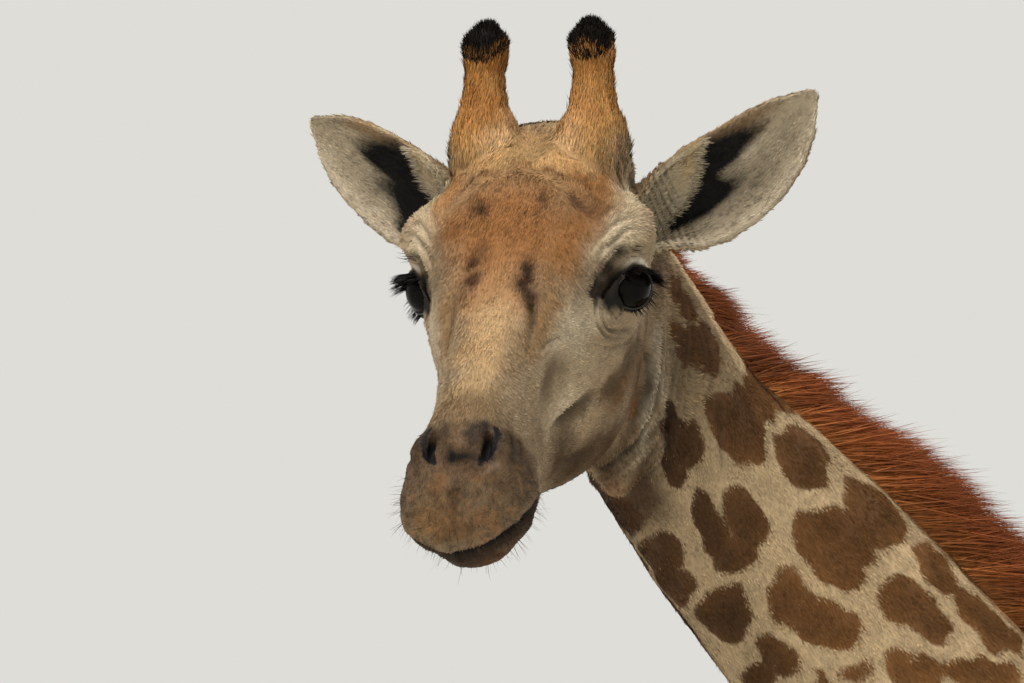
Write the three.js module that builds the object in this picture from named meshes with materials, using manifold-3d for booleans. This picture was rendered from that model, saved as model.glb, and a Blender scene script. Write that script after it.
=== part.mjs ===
// A southern giraffe cow at life size, standing square with her neck raised and her head turned to her left.
// Millimetres, +Z up, floor at z = 0. She faces -Y, so +X is her left side. The tables below measure Y from under
// the middle of the trunk; at the end the model moves so that its origin lies under the middle of its outline.
// The body is lofted from tables of sections, joined into whole solids, and then parted by thin plane cuts into
// the pieces that a person would name.
import * as THREE from "three";
import Module from "manifold-3d";

const wasm = await Module();
wasm.setup();

// Driving dimensions
const GAP = 0.4; // clear space left at every cut between two pieces
const FAR = 6000; // side of the blocks that stand for half-spaces in a cut
const HEAD_AT = V(175, -1800, 3720); // midway between the eyes
const HEAD_TURN = THREE.MathUtils.degToRad(52); // to her left of the body's line
const HEAD_NOD = THREE.MathUtils.degToRad(35); // nose below the horizon
const NECK_RISE = THREE.MathUtils.degToRad(46); // slope of the straight part of the neck
const NECK_RUN = 1500; // length of that straight part, the stretch inside the chest included
const EYE = { at: [108, -14, 12], radius: 27 };
const HOOF_TOP = 118;
const TRUNK_SIDES = 24; // points round a section
const NECK_SIDES = 18;
const HEAD_SIDES = 24;
const LEG_SIDES = 10;

function V(x, y, z) {
  return new THREE.Vector3(x, y, z);
}

// ---------------------------------------------------------------- tables

// Reads a table at `at`, a place along its first column, with a smooth curve through every other column.
function read(table, at) {
  const last = table.length - 1;
  const rising = table[last][0] > table[0][0];
  let i = 0;
  while (i < last - 1 && (rising ? at > table[i + 1][0] : at < table[i + 1][0])) i++;
  const [a, b] = [table[i], table[i + 1]];
  const before = table[Math.max(i - 1, 0)];
  const after = table[Math.min(i + 2, last)];
  const span = b[0] - a[0];
  const t = THREE.MathUtils.clamp((at - a[0]) / span, 0, 1);
  return a.map((from, k) => {
    const to = b[k];
    const leave = ((to - before[k]) / (b[0] - before[0])) * span;
    const arrive = ((after[k] - from) / (after[0] - a[0])) * span;
    const drop = from - to;
    return from + t * (leave + t * (-3 * drop - 2 * leave - arrive + t * (2 * drop + leave + arrive)));
  });
}

// `count` places from the first row of a table to its last, evenly spaced.
function places(table, count) {
  const [from, to] = [table[0][0], table[table.length - 1][0]];
  return Array.from({ length: count }, (_, i) => from + ((to - from) * i) / (count - 1));
}

// ---------------------------------------------------------------- lofts

// A closed section about `centre` in the plane of `side` and `up`. `square` is 2 for an ellipse and more for a
// boxier section, given for the upper and the lower half.
function section(centre, side, up, { half, above, below, square = [2, 2] }, count) {
  return Array.from({ length: count }, (_, i) => {
    const angle = (i / count) * 2 * Math.PI;
    const [c, s] = [Math.cos(angle), Math.sin(angle)];
    const power = 2 / (s > 0 ? square[0] : square[1]);
    const across = Math.sign(c) * Math.abs(c) ** power * half;
    const height = Math.sign(s) * Math.abs(s) ** power * (s > 0 ? above : below);
    return centre.clone().addScaledVector(side, across).addScaledVector(up, height);
  });
}

// A closed geometry through rings of equal counts, its two ends filled by fans.
function loft(rings) {
  const count = rings[0].length;
  const points = rings.flat();
  const index = [];
  rings.slice(1).forEach((_, r) => {
    for (let i = 0; i < count; i++) {
      const [a, b] = [r * count + i, r * count + ((i + 1) % count)];
      index.push(a, b, b + count, a, b + count, a + count);
    }
  });
  for (const [ring, first] of [[rings[0], 0], [rings.at(-1), points.length - count]]) {
    const middle = points.push(ring.reduce((sum, p) => sum.add(p), V(0, 0, 0)).divideScalar(count)) - 1;
    for (let i = 0; i < count; i++) {
      const [a, b] = [first + i, first + ((i + 1) % count)];
      index.push(...(first === 0 ? [middle, b, a] : [middle, a, b]));
    }
  }
  return new THREE.BufferGeometry().setFromPoints(points).setIndex(index);
}

// A loft of round or oval sections along a curve, its radii from rows of [share of length, across, along up].
function tube(curve, radii, up, rings, sides) {
  return loft(
    Array.from({ length: rings }, (_, i) => {
      const share = i / (rings - 1);
      const tangent = curve.getTangentAt(share);
      const side = up.clone().cross(tangent).normalize();
      const [, half, height] = read(radii, share);
      const upward = tangent.clone().cross(side);
      return section(curve.getPointAt(share), side, upward, { half, above: height, below: height }, sides);
    }),
  );
}

// A point moved by soft swellings and hollows. Each has a middle, how far it reaches and how far it moves the surface
// there, and is repeated on the other side of the body unless it lies on the midline.
function formed(point, forms) {
  const moved = point.clone();
  for (const { at, reach, move } of forms) {
    for (const sideways of at[0] === 0 ? [1] : [1, -1]) {
      const turned = V(sideways, 1, 1);
      const away = point.clone().sub(V(...at).multiply(turned)).divide(V(...reach));
      moved.addScaledVector(V(...move).multiply(turned), Math.exp(-away.lengthSq()));
    }
  }
  return moved;
}

// ---------------------------------------------------------------- solids

// A geometry as a solid, turned right side out if its rings ran the other way.
function solid(geometry) {
  const vertProperties = new Float32Array(geometry.attributes.position.array);
  const index = geometry.index.array;
  const build = (triVerts) => new wasm.Manifold(new wasm.Mesh({ numProp: 3, vertProperties, triVerts }));
  const made = build(new Uint32Array(index));
  return made.volume() > 0 ? made : build(new Uint32Array(index).reverse());
}

// three.js repeats the vertices of a box along its edges, so a block is a loft of two squares.
function block(plane, size = FAR) {
  const up = Math.abs(plane.normal.z) < 0.9 ? V(0, 0, 1) : V(1, 0, 0);
  const side = up.cross(plane.normal).normalize();
  const other = plane.normal.clone().cross(side);
  const corners = (depth) =>
    [[1, 1], [-1, 1], [-1, -1], [1, -1]].map(([a, b]) =>
      plane.point
        .clone()
        .addScaledVector(plane.normal, depth)
        .addScaledVector(side, (a * size) / 2)
        .addScaledVector(other, (b * size) / 2),
    );
  return solid(loft([corners(0), corners(size)]));
}

// The plane through a point; its front is the side that the normal points to.
function plane(point, normal) {
  return { point, normal: normal.clone().normalize() };
}

function shifted(cut, forward) {
  return { ...cut, point: cut.point.clone().addScaledVector(cut.normal, forward) };
}

// What lies behind a plane, and what lies in front of it, half a gap from the plane each.
const behind = (shape, cut) => shape.subtract(block(shifted(cut, -GAP / 2)));
const inFront = (shape, cut) => shape.intersect(block(shifted(cut, GAP / 2)));

function ball(at, radius, columns = 12, rows = 8) {
  const rings = Array.from({ length: rows - 1 }, (_, i) => {
    const angle = (Math.PI * (i + 1)) / rows;
    const centre = V(...at).add(V(0, 0, radius * Math.cos(angle)));
    const half = radius * Math.sin(angle);
    return section(centre, V(1, 0, 0), V(0, 1, 0), { half, above: half, below: half }, columns);
  });
  return solid(loft(rings));
}

// An egg-shaped solid about `at`, tilted about X.
function egg(at, [rx, ry, rz], tilt, columns, rows) {
  const turned = new THREE.Matrix4().makeRotationX(tilt);
  const rings = Array.from({ length: rows - 1 }, (_, i) => {
    const angle = (Math.PI * (i + 1)) / rows;
    const width = Math.sin(angle);
    return section(V(0, 0, rz * Math.cos(angle)), V(1, 0, 0), V(0, 1, 0),
      { half: rx * width, above: ry * width, below: ry * width }, columns)
      .map((p) => p.applyMatrix4(turned).add(V(...at)));
  });
  return solid(loft(rings));
}

const mirrored = ([x, y, z]) => [-x, y, z];

// ---------------------------------------------------------------- head, in its own frame

// Rows: forward of the eyes, half width, height of the widest line, top, bottom, squareness above and below it.
const SKULL = [
  [-205, 34, 24, 62, -20, 2, 2],
  [-188, 66, 30, 100, -92, 2.1, 2],
  [-155, 88, 40, 120, -150, 2.5, 2.3],
  [-120, 98, 46, 123, -178, 2.9, 2.6],
  [-80, 102, 46, 127, -188, 2.7, 2.8],
  [-30, 104, 38, 131, -192, 2.3, 3],
  [15, 105, 20, 122, -192, 2.1, 3],
  [60, 99, 2, 104, -188, 2.2, 3],
  [110, 85, -6, 84, -176, 2.3, 3],
  [165, 68, -12, 66, -154, 2.4, 2.8],
  [215, 57, -22, 53, -137, 2.4, 2.6],
  [260, 54, -34, 42, -125, 2.3, 2.4],
  [300, 59, -48, 30, -126, 2.2, 2.3],
  [335, 68, -57, 14, -130, 2.2, 2.2],
  [365, 68, -62, -8, -126, 2.2, 2.2],
  [386, 52, -64, -26, -110, 2.1, 2.1],
  [398, 24, -68, -48, -88, 2, 2],
];

const HEAD_FORMS = [
  { name: "brow", at: [104, 22, 56], reach: [50, 48, 34], move: [40, 0, 8] },
  { name: "orbit", at: [106, -8, 12], reach: [44, 44, 36], move: [14, 0, 0] },
  { name: "cheekbone", at: [102, -60, -22], reach: [46, 60, 26], move: [10, 0, 0] },
  { name: "temple", at: [100, 95, 40], reach: [40, 40, 50], move: [-12, 0, 0] },
  { name: "cheek hollow", at: [80, -110, -60], reach: [40, 70, 34], move: [-9, 0, 0] },
  { name: "nostril wing", at: [44, -338, 2], reach: [24, 26, 22], move: [7, 0, 6] },
  { name: "side of the nose", at: [50, -230, 30], reach: [26, 80, 22], move: [-6, 0, 0] },
  { name: "forehead", at: [0, 22, 120], reach: [52, 46, 60], move: [0, 0, 9] },
  { name: "nose tip", at: [0, -352, 0], reach: [14, 26, 26], move: [0, 0, -7] },
  { name: "corner of the lips", at: [64, -290, -62], reach: [26, 42, 28], move: [9, 0, -2] },
  { name: "lower lip, swung to her left", at: [0, -378, -116], reach: [70, 60, 28], move: [8, 8, 5] },
  { name: "left side of the chin", at: [52, -366, -114], reach: [26, 50, 26], move: [-10, 0, 4] },
];

function skull(grow = 0) {
  return loft(
    places(SKULL, 29).map((forward) => {
      const [, half, middle, top, bottom, squareAbove, squareBelow] = read(SKULL, forward);
      return section(V(0, -forward, middle), V(1, 0, 0), V(0, 0, 1), {
        half: half + grow,
        above: top - middle + grow,
        below: middle - bottom + grow,
        square: [squareAbove, squareBelow],
      }, HEAD_SIDES).map((point) => formed(point, HEAD_FORMS));
    }),
  );
}

// Ossicone: a bony horn under skin, from inside the skull to its tufted tip, leaning back.
const OSSICONE_RADII = [
  [0, 43, 48],
  [0.2, 41, 44],
  [0.3, 39, 40],
  [0.38, 32, 33],
  [0.46, 27, 27.5],
  [0.64, 21.5, 21.5],
  [0.8, 24, 24],
  [0.9, 23, 23],
  [0.97, 16, 16],
  [1, 8, 8],
];

function ossicone(sideways) {
  const line = new THREE.CatmullRomCurve3([V(56, 94, 84), V(60, 122, 134), V(60, 155, 182), V(57, 187, 223)]
    .map((p) => p.multiply(V(sideways, 1, 1))));
  return solid(tube(line, OSSICONE_RADII, V(0, 1, 0), 10, 10));
}

// Ear: rolled into a tube at its root and opening to a pointed, cupped blade.
// Rows: share of length, half the blade's arc across, angle that half arc turns through, thickness.
const EAR = [
  [0, 78, 2.4, 10],
  [0.12, 74, 2.15, 9],
  [0.22, 76, 1.7, 9],
  [0.32, 76, 1.4, 8],
  [0.46, 68, 1.15, 7.5],
  [0.6, 59, 0.95, 7],
  [0.76, 46, 0.8, 6.5],
  [0.9, 26, 0.6, 6],
  [1, 6, 0.3, 5],
];
const EAR_LINES = {
  left: [[80, 108, 16], [130, 128, 31], [210, 155, 62], [290, 184, 130]],
  right: [[-80, 108, 18], [-136, 128, 44], [-206, 155, 78], [-271, 184, 115]],
};

function ear(name) {
  const line = new THREE.CatmullRomCurve3(EAR_LINES[name].map((p) => V(...p)));
  const steps = 6;
  return solid(loft(
    places(EAR, 9).map((share) => {
      const [, arc, angle, thick] = read(EAR, share);
      const along = line.getTangentAt(share);
      const facing = V(0, -1, 0.12).addScaledVector(along, -V(0, -1, 0.12).dot(along)).normalize();
      const across = along.clone().cross(facing);
      const radius = arc / angle;
      const depth = (radius * Math.sin(angle)) / angle;
      const at = (turn, r) =>
        line.getPointAt(share)
          .addScaledVector(across, r * Math.sin(turn))
          .addScaledVector(facing, depth - r * Math.cos(turn));
      const turns = Array.from({ length: steps + 1 }, (_, i) => angle * ((2 * i) / steps - 1));
      return [
        ...turns.map((turn) => at(turn, radius + thick / 2)),
        ...turns.reverse().map((turn) => at(turn, radius - thick / 2)),
      ];
    }),
  ));
}

// ---------------------------------------------------------------- neck

const headFrame = new THREE.Group();
headFrame.position.copy(HEAD_AT);
headFrame.rotation.set(HEAD_NOD, 0, HEAD_TURN, "ZYX");
headFrame.updateMatrixWorld(true);
const fromHead = (x, y, z) => V(x, y, z).applyMatrix4(headFrame.matrixWorld);
const directionFromHead = (x, y, z) => V(x, y, z).applyEuler(headFrame.rotation);
const intoHead = headFrame.matrixWorld.clone().invert();

const NECK_DOWN = V(0, Math.cos(NECK_RISE), -Math.sin(NECK_RISE));
const STRAIGHT_TOP = HEAD_AT.clone().add(V(-175, 398, -307));
const neckLine = new THREE.CatmullRomCurve3([
  fromHead(0, 120, 20),
  fromHead(6, 182, -30),
  HEAD_AT.clone().add(V(-150, 190, -38)),
  HEAD_AT.clone().add(V(-168, 260, -157)),
  STRAIGHT_TOP,
  ...[0.3, 0.65, 1].map((share) => STRAIGHT_TOP.clone().addScaledVector(NECK_DOWN, NECK_RUN * share)),
]);

// Rows: share of the neck's length, half width, towards the nape, towards the throat.
const NECK = [
  [0, 60, 62, 60],
  [0.05, 67, 78, 108],
  [0.11, 75, 99, 146],
  [0.15, 82, 121, 146],
  [0.19, 86, 142, 133],
  [0.28, 91, 158, 138],
  [0.42, 101, 167, 151],
  [0.56, 116, 180, 178],
  [0.7, 142, 206, 218],
  [0.84, 186, 252, 308],
  [1, 220, 290, 430],
];
const NECK_RINGS = 20;

// Centre, side and nape directions of the neck at a share of its length.
function neckAt(share) {
  const tangent = neckLine.getTangentAt(share);
  const twist = THREE.MathUtils.smoothstep(share, 0.02, 0.4);
  const nape = directionFromHead(0, 1, 0.2).lerp(V(0, Math.sin(NECK_RISE), Math.cos(NECK_RISE)), twist);
  nape.addScaledVector(tangent, -nape.dot(tangent)).normalize();
  return { centre: neckLine.getPointAt(share), side: nape.clone().cross(tangent), nape };
}

function neckTube(grow = 0) {
  return loft(
    places(NECK, NECK_RINGS).map((share) => {
      const { centre, side, nape } = neckAt(share);
      const [, half, above, below] = read(NECK, share);
      const size = { half: half + grow, above: above + grow, below: below + grow, square: [1.9, 2.1] };
      return section(centre, side, nape, size, NECK_SIDES);
    }),
  );
}

// Mane: a stiff crest along the nape. Rows: share of the neck's length, half thickness, height over the nape.
const MANE = [
  [0.055, 14, 58],
  [0.1, 18, 78],
  [0.15, 21, 81],
  [0.2, 23, 79],
  [0.26, 25, 81],
  [0.36, 27, 86],
  [0.5, 28, 92],
  [0.65, 27, 88],
  [0.76, 22, 58],
  [0.84, 12, 20],
];
const MANE_ROOT = 14; // how far the crest starts under the nape's surface

function mane() {
  return solid(loft(
    places(MANE, 10).map((share) => {
      const { centre, side, nape } = neckAt(share);
      const [, half, height] = read(MANE, share);
      const [, , toNape] = read(NECK, share);
      const low = centre.addScaledVector(nape, toNape - MANE_ROOT);
      return [[1, 0], [1, 0.35], [0.72, 0.75], [0.28, 1], [-0.28, 1], [-0.72, 0.75], [-1, 0.35], [-1, 0]]
        .map(([across, up]) => low.clone().addScaledVector(side, half * across).addScaledVector(nape, (height + MANE_ROOT) * up));
    }),
  ));
}

// ---------------------------------------------------------------- trunk

// Rows: back from the chest's middle, half width, height of the widest line, back line, belly line.
const TRUNK = [
  [-728, 60, 2020, 2090, 1925],
  [-690, 138, 2040, 2200, 1825],
  [-635, 192, 2065, 2330, 1745],
  [-540, 246, 2080, 2480, 1668],
  [-410, 276, 2080, 2618, 1615],
  [-290, 292, 2070, 2650, 1590],
  [-120, 310, 2050, 2598, 1580],
  [60, 325, 2030, 2520, 1592],
  [240, 328, 2020, 2450, 1618],
  [420, 310, 2010, 2392, 1660],
  [560, 282, 2000, 2322, 1705],
  [680, 238, 1990, 2232, 1755],
  [770, 170, 1980, 2130, 1815],
  [815, 80, 1975, 2040, 1890],
];

const TRUNK_FORMS = [
  { name: "shoulder blade", at: [230, -400, 2290], reach: [170, 150, 260], move: [34, 0, 0] },
  { name: "point of the shoulder", at: [230, -590, 1960], reach: [150, 120, 190], move: [40, -6, 0] },
  { name: "upper arm", at: [270, -420, 1850], reach: [140, 130, 190], move: [30, 0, 0] },
  { name: "brisket", at: [0, -660, 1780], reach: [130, 160, 130], move: [0, -22, -18] },
  { name: "behind the elbow", at: [290, -200, 1800], reach: [140, 100, 190], move: [-16, 0, 0] },
  { name: "flank hollow", at: [300, 300, 2080], reach: [140, 130, 170], move: [-30, 0, 0] },
  { name: "hip", at: [180, 420, 2290], reach: [90, 110, 90], move: [20, 0, 14] },
  { name: "haunch", at: [260, 590, 2020], reach: [150, 180, 240], move: [44, 0, 0] },
  { name: "seat bone", at: [120, 800, 2030], reach: [90, 120, 120], move: [16, 10, 0] },
  { name: "belly", at: [0, 100, 1600], reach: [260, 420, 120], move: [0, 0, -14] },
];

function trunk() {
  return solid(loft(
    places(TRUNK, 18).map((back) => {
      const [, half, middle, top, bottom] = read(TRUNK, back);
      const size = { half, above: top - middle, below: middle - bottom, square: [1.75, 2.15] };
      return section(V(0, back, middle), V(1, 0, 0), V(0, 0, 1), size, TRUNK_SIDES)
        .map((point) => formed(point, TRUNK_FORMS));
    }),
  ));
}

// ---------------------------------------------------------------- legs and tail

// Rows: height, fore-and-aft place, half width, towards the front, towards the back.
const FORELEG = [
  [2120, -440, 50, 80, 90],
  [2000, -460, 86, 120, 130],
  [1860, -476, 104, 140, 158],
  [1720, -474, 94, 120, 142],
  [1600, -468, 78, 98, 116],
  [1450, -464, 68, 84, 96],
  [1250, -462, 57, 70, 74],
  [1080, -462, 50, 58, 60],
  [980, -464, 52, 58, 58],
  [900, -466, 61, 68, 64],
  [830, -466, 59, 64, 60],
  [760, -464, 46, 50, 54],
  [640, -462, 37, 40, 46],
  [480, -462, 35, 38, 46],
  [350, -464, 39, 42, 50],
  [275, -466, 52, 54, 64],
  [215, -474, 47, 50, 54],
  [150, -486, 53, 58, 56],
  [HOOF_TOP, -492, 60, 66, 62],
];
const HINDLEG = [
  [2080, 560, 80, 150, 140],
  [1940, 570, 118, 216, 200],
  [1800, 572, 128, 232, 212],
  [1650, 564, 108, 196, 178],
  [1520, 556, 84, 146, 142],
  [1380, 566, 68, 112, 112],
  [1220, 596, 54, 80, 86],
  [1080, 634, 46, 62, 74],
  [980, 664, 47, 60, 72],
  [905, 680, 53, 66, 70],
  [840, 684, 51, 62, 60],
  [760, 682, 41, 50, 50],
  [620, 676, 35, 42, 44],
  [470, 670, 34, 40, 44],
  [350, 666, 38, 42, 48],
  [275, 662, 50, 54, 62],
  [215, 654, 45, 50, 54],
  [150, 642, 51, 58, 56],
  [HOOF_TOP, 636, 58, 66, 62],
];

function leg(table, stance) {
  const [side, reach] = stance;
  const top = table[0][0];
  return solid(loft(
    places(table, 20).map((height) => {
      const [, back, half, front, rear] = read(table, height);
      const down = 1 - (height - HOOF_TOP) / (top - HOOF_TOP);
      const centre = V(side * (1 - 0.06 * down), back + reach * down, height);
      return section(centre, V(1, 0, 0), V(0, -1, 0), { half, above: front, below: rear, square: [2.1, 2.1] }, LEG_SIDES);
    }),
  ));
}

// Hoof: two claws joined at the heel, flat on the floor. Rows: height, place forward, half width, front, back.
const HOOF = [
  [0, 16, 76, 104, 84],
  [30, 14, 75, 100, 82],
  [70, 9, 69, 86, 74],
  [HOOF_TOP - GAP, 1, 61, 68, 63],
];
const CLEFT = { half: 3.5, depth: 118 };

function hoof(side, back) {
  const whole = solid(loft(
    HOOF.map(([height, forward, half, front, rear]) =>
      section(V(side, back - forward, height), V(1, 0, 0), V(0, -1, 0), { half, above: front, below: rear, square: [2.2, 2.5] }, 14)),
  ));
  const toe = back - HOOF[0][1] - HOOF[0][3];
  const corners = (z) => [[1, 0], [-1, 0], [-1, 1], [1, 1]]
    .map(([a, b]) => V(side + a * CLEFT.half, toe - 20 + b * (CLEFT.depth + 20), z));
  return whole.subtract(solid(loft([corners(-10), corners(HOOF_TOP - 14)])));
}

const tailLine = new THREE.CatmullRomCurve3([
  V(0, 690, 2130), V(0, 806, 2094), V(0, 888, 1990), V(3, 922, 1830), V(5, 932, 1600), V(4, 936, 1350), V(0, 940, 960),
]);
const TAIL_RADII = [[0, 50, 40], [0.1, 40, 36], [0.25, 27, 25], [0.45, 20, 19], [0.62, 17, 17], [0.7, 26, 25], [0.82, 44, 38], [0.94, 36, 30], [1, 10, 9]];

// ---------------------------------------------------------------- joining and parting

const throatCut = plane(fromHead(60, 160, -205), directionFromHead(0.3, 0.35, -0.88));
const mouthLine = plane(V(0, -330, -88), V(0, -0.06, -1));
const mouthCorner = plane(V(0, -252, 0), V(0, -1, 0));
const neckCuts = [0.34, 0.58].map((share) => plane(neckLine.getPointAt(share), neckLine.getTangentAt(share)));
const chestCut = plane(V(0, -668, 2375), V(0, 0.829, -0.559));
const flankCut = plane(V(0, 150, 2000), V(0, 1, 0));
const elbowCut = plane(V(0, 0, 1560), V(0, 0, -1));
const kneeCut = plane(V(0, 0, 965), V(0, 0, -1));
const tailCut = plane(tailLine.getPointAt(0.15), tailLine.getTangentAt(0.15));
const tuftCut = plane(tailLine.getPointAt(0.66), tailLine.getTangentAt(0.66));

const pieces = []; // [name, solid, material, in the head's frame]
const keep = (name, shape, finish, ofHead = false) => pieces.push([name, shape, finish, ofHead]);

// Head and everything that sits in or on it
const eyes = { left: EYE.at, right: mirrored(EYE.at) };
const neckInHead = solid(neckTube().applyMatrix4(intoHead));
const grownHead = solid(skull(GAP)).add(solid(neckTube(GAP).applyMatrix4(intoHead)));
const throatInHead = plane(V(60, 160, -205), V(0.3, 0.35, -0.88));
let headShape = behind(solid(skull()).add(neckInHead), throatInHead);
for (const at of Object.values(eyes)) headShape = headShape.subtract(ball(at, EYE.radius + GAP));
for (const sideways of [1, -1]) headShape = headShape.subtract(egg([30 * sideways, -338, 8], [5, 24, 14], 0.4, 10, 7));
const belowMouth = (grow) => block(shifted(mouthLine, -grow)).intersect(block(shifted(mouthCorner, -grow)));
keep("head", largest(headShape.subtract(belowMouth(GAP / 2))), "coat", true);
keep("jaw", largest(headShape.intersect(belowMouth(-GAP / 2))), "coat", true);
for (const [name, sideways] of [["left", 1], ["right", -1]]) {
  keep(`ear_${name}`, largest(ear(name).subtract(grownHead)), "ear", true);
  keep(`ossicone_${name}`, largest(ossicone(sideways).subtract(grownHead)), "horn", true);
  keep(`eye_${name}`, ball(eyes[name], EYE.radius), "eye", true);
}

// A piece cut by its neighbour can leave crumbs; the largest body is the piece.
function largest(shape) {
  return shape.decompose().reduce((best, body) => (body.volume() > best.volume() ? body : best));
}

// Neck and mane, in three lengths
const headInBody = solid(skull().applyMatrix4(headFrame.matrixWorld));
const neckWhole = inFront(solid(neckTube()).add(headInBody), throatCut);
const upToChest = behind(neckWhole, chestCut);
const crest = behind(mane().subtract(solid(neckTube(GAP))).subtract(solid(skull(GAP).applyMatrix4(headFrame.matrixWorld))), chestCut);
const neckNames = ["upper", "middle", "lower"];
neckNames.forEach((name, i) => {
  const from = (shape) => (i === 0 ? shape : inFront(shape, neckCuts[i - 1]));
  const to = (shape) => (i === 2 ? shape : behind(shape, neckCuts[i]));
  keep(`neck_${name}`, largest(to(from(upToChest))), "coat");
  keep(`mane_${name}`, largest(to(from(crest))), "mane");
});

// Trunk with the tops of the legs, in two lengths
const STANCES = {
  foreleg_left: [FORELEG, [186, -40]],
  foreleg_right: [FORELEG, [-186, 24]],
  hindleg_left: [HINDLEG, [162, 46]],
  hindleg_right: [HINDLEG, [-162, -34]],
};
const legs = Object.entries(STANCES).map(([name, [table, stance]]) => ({ name, table, stance, shape: leg(table, stance) }));
const tail = solid(tube(tailLine, TAIL_RADII, V(1, 0, 0), 12, 8));
let barrel = trunk().add(inFront(solid(neckTube()), chestCut));
barrel = inFront(barrel, chestCut);
for (const { shape } of legs) barrel = barrel.add(shape);
barrel = behind(barrel.add(behind(tail, tailCut)), elbowCut);
keep("trunk_front", largest(behind(barrel, flankCut)), "coat");
keep("trunk_rear", largest(inFront(barrel, flankCut)), "coat");

// Legs below the elbow and stifle
for (const { name, table, stance, shape } of legs) {
  const lower = inFront(shape, elbowCut);
  const [side, reach] = stance;
  keep(`${name}_upper`, behind(lower, kneeCut), "coat");
  keep(`${name}_lower`, inFront(lower, kneeCut), "coat");
  keep(`hoof_${name.replace("leg", "")}`, hoof(side * 0.94, table.at(-1)[1] + reach), "hoof");
}

keep("tail", inFront(behind(tail, tuftCut), tailCut), "coat");
keep("tail_tuft", inFront(tail, tuftCut), "tuft");

// ---------------------------------------------------------------- the model

const FINISHES = {
  coat: { color: 0xa98a63, roughness: 0.85 },
  ear: { color: 0xa7977f, roughness: 0.9 },
  horn: { color: 0x9a6a3a, roughness: 0.85 },
  eye: { color: 0x14100d, roughness: 0.08 },
  mane: { color: 0x7a3a1c, roughness: 0.8 },
  hoof: { color: 0x4a4038, roughness: 0.6 },
  tuft: { color: 0x1c1612, roughness: 0.75 },
};

function meshOf(name, shape, finish) {
  const { numProp, vertProperties, triVerts } = shape.getMesh();
  const geometry = new THREE.BufferGeometry()
    .setAttribute("position", new THREE.BufferAttribute(new Float32Array(vertProperties), numProp))
    .setIndex(new THREE.BufferAttribute(new Uint32Array(triVerts), 1));
  const mesh = new THREE.Mesh(geometry, new THREE.MeshStandardMaterial({ ...FINISHES[finish], metalness: 0 }));
  mesh.name = name;
  return mesh;
}

const giraffe = new THREE.Group();
giraffe.add(headFrame);
for (const [name, shape, finish, ofHead] of pieces) (ofHead ? headFrame : giraffe).add(meshOf(name, shape, finish));

const middle = new THREE.Box3().setFromObject(giraffe, true).getCenter(V(0, 0, 0));
giraffe.position.set(-middle.x, -middle.y, 0);

export default giraffe;
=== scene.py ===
"""A life-size giraffe at rest: one marked skin, eyes and lids, a coat of short tufts, mane and long hair."""

import math

import bmesh
import bpy
import numpy as np
from bpy.props import FloatProperty, FloatVectorProperty, IntProperty, PointerProperty
from mathutils import Matrix, Vector
from mathutils.bvhtree import BVHTree


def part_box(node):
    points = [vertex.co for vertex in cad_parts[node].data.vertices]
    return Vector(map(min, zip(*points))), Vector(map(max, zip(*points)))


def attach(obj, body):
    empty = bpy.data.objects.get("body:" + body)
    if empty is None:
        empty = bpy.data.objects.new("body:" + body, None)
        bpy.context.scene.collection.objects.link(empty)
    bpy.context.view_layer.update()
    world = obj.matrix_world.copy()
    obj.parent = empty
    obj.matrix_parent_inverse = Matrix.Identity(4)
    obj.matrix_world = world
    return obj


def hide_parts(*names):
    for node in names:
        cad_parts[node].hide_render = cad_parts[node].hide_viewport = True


bl_info = {
    "name": "Life-size giraffe",
    "version": (1, 0, 0),
    "blender": (4, 5, 0),
    "location": "3D View > Sidebar > Giraffe",
    "description": "Builds a giraffe's skin, eyes, coat, mane and hooves round its solid frame",
    "category": "Object",
}

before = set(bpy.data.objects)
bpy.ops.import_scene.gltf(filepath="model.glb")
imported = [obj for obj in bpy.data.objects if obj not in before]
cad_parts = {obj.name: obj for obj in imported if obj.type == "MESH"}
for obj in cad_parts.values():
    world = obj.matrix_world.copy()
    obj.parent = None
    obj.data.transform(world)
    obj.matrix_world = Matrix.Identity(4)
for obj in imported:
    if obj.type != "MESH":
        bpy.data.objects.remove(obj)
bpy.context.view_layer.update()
MM = 0.001

# How many points are compared with a line at a time, and how many tufts a piece holds at most.
BLOCK = 20000
MOST_TUFTS = 96000


# Numbers and colours


def linear(text):
    """An sRGB hex colour as linear red, green and blue."""
    parts = [int(text[i : i + 2], 16) / 255 for i in (1, 3, 5)]
    return tuple(c / 12.92 if c <= 0.04045 else ((c + 0.055) / 1.055) ** 2.4 for c in parts)


def painted(text, count):
    """One hex colour as an array with a row for each of count points."""
    return np.tile(np.array(linear(text)), (count, 1))


def blend(colours, shade, amount):
    """Colours moved towards one hex colour by an amount for each."""
    return colours + (np.array(linear(shade)) - colours) * np.clip(amount, 0, 1)[:, None]


def unit(v):
    """Vectors at length one."""
    return v / np.maximum(np.linalg.norm(v, axis=-1, keepdims=True), 1e-9)


def lengths(v):
    """The length of each row of an array of vectors."""
    return np.linalg.norm(v, axis=1)


def layered(colours, *layers):
    """Colours with others laid over them in order: each layer is a hex colour and an amount for each."""
    for shade, amount in layers:
        colours = blend(colours, shade, amount)
    return colours


def flattened(v, normals):
    """Vectors without their share along the normals."""
    return v - (v * normals).sum(1, keepdims=True) * normals


def ease(x, low, high):
    """A smooth step from 0 at low to 1 at high."""
    t = np.clip((x - low) / (high - low), 0, 1)
    return t * t * (3 - 2 * t)


def bell(x, width):
    """A soft bump, 1 at zero."""
    return np.exp(-((x / width) ** 2))


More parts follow.
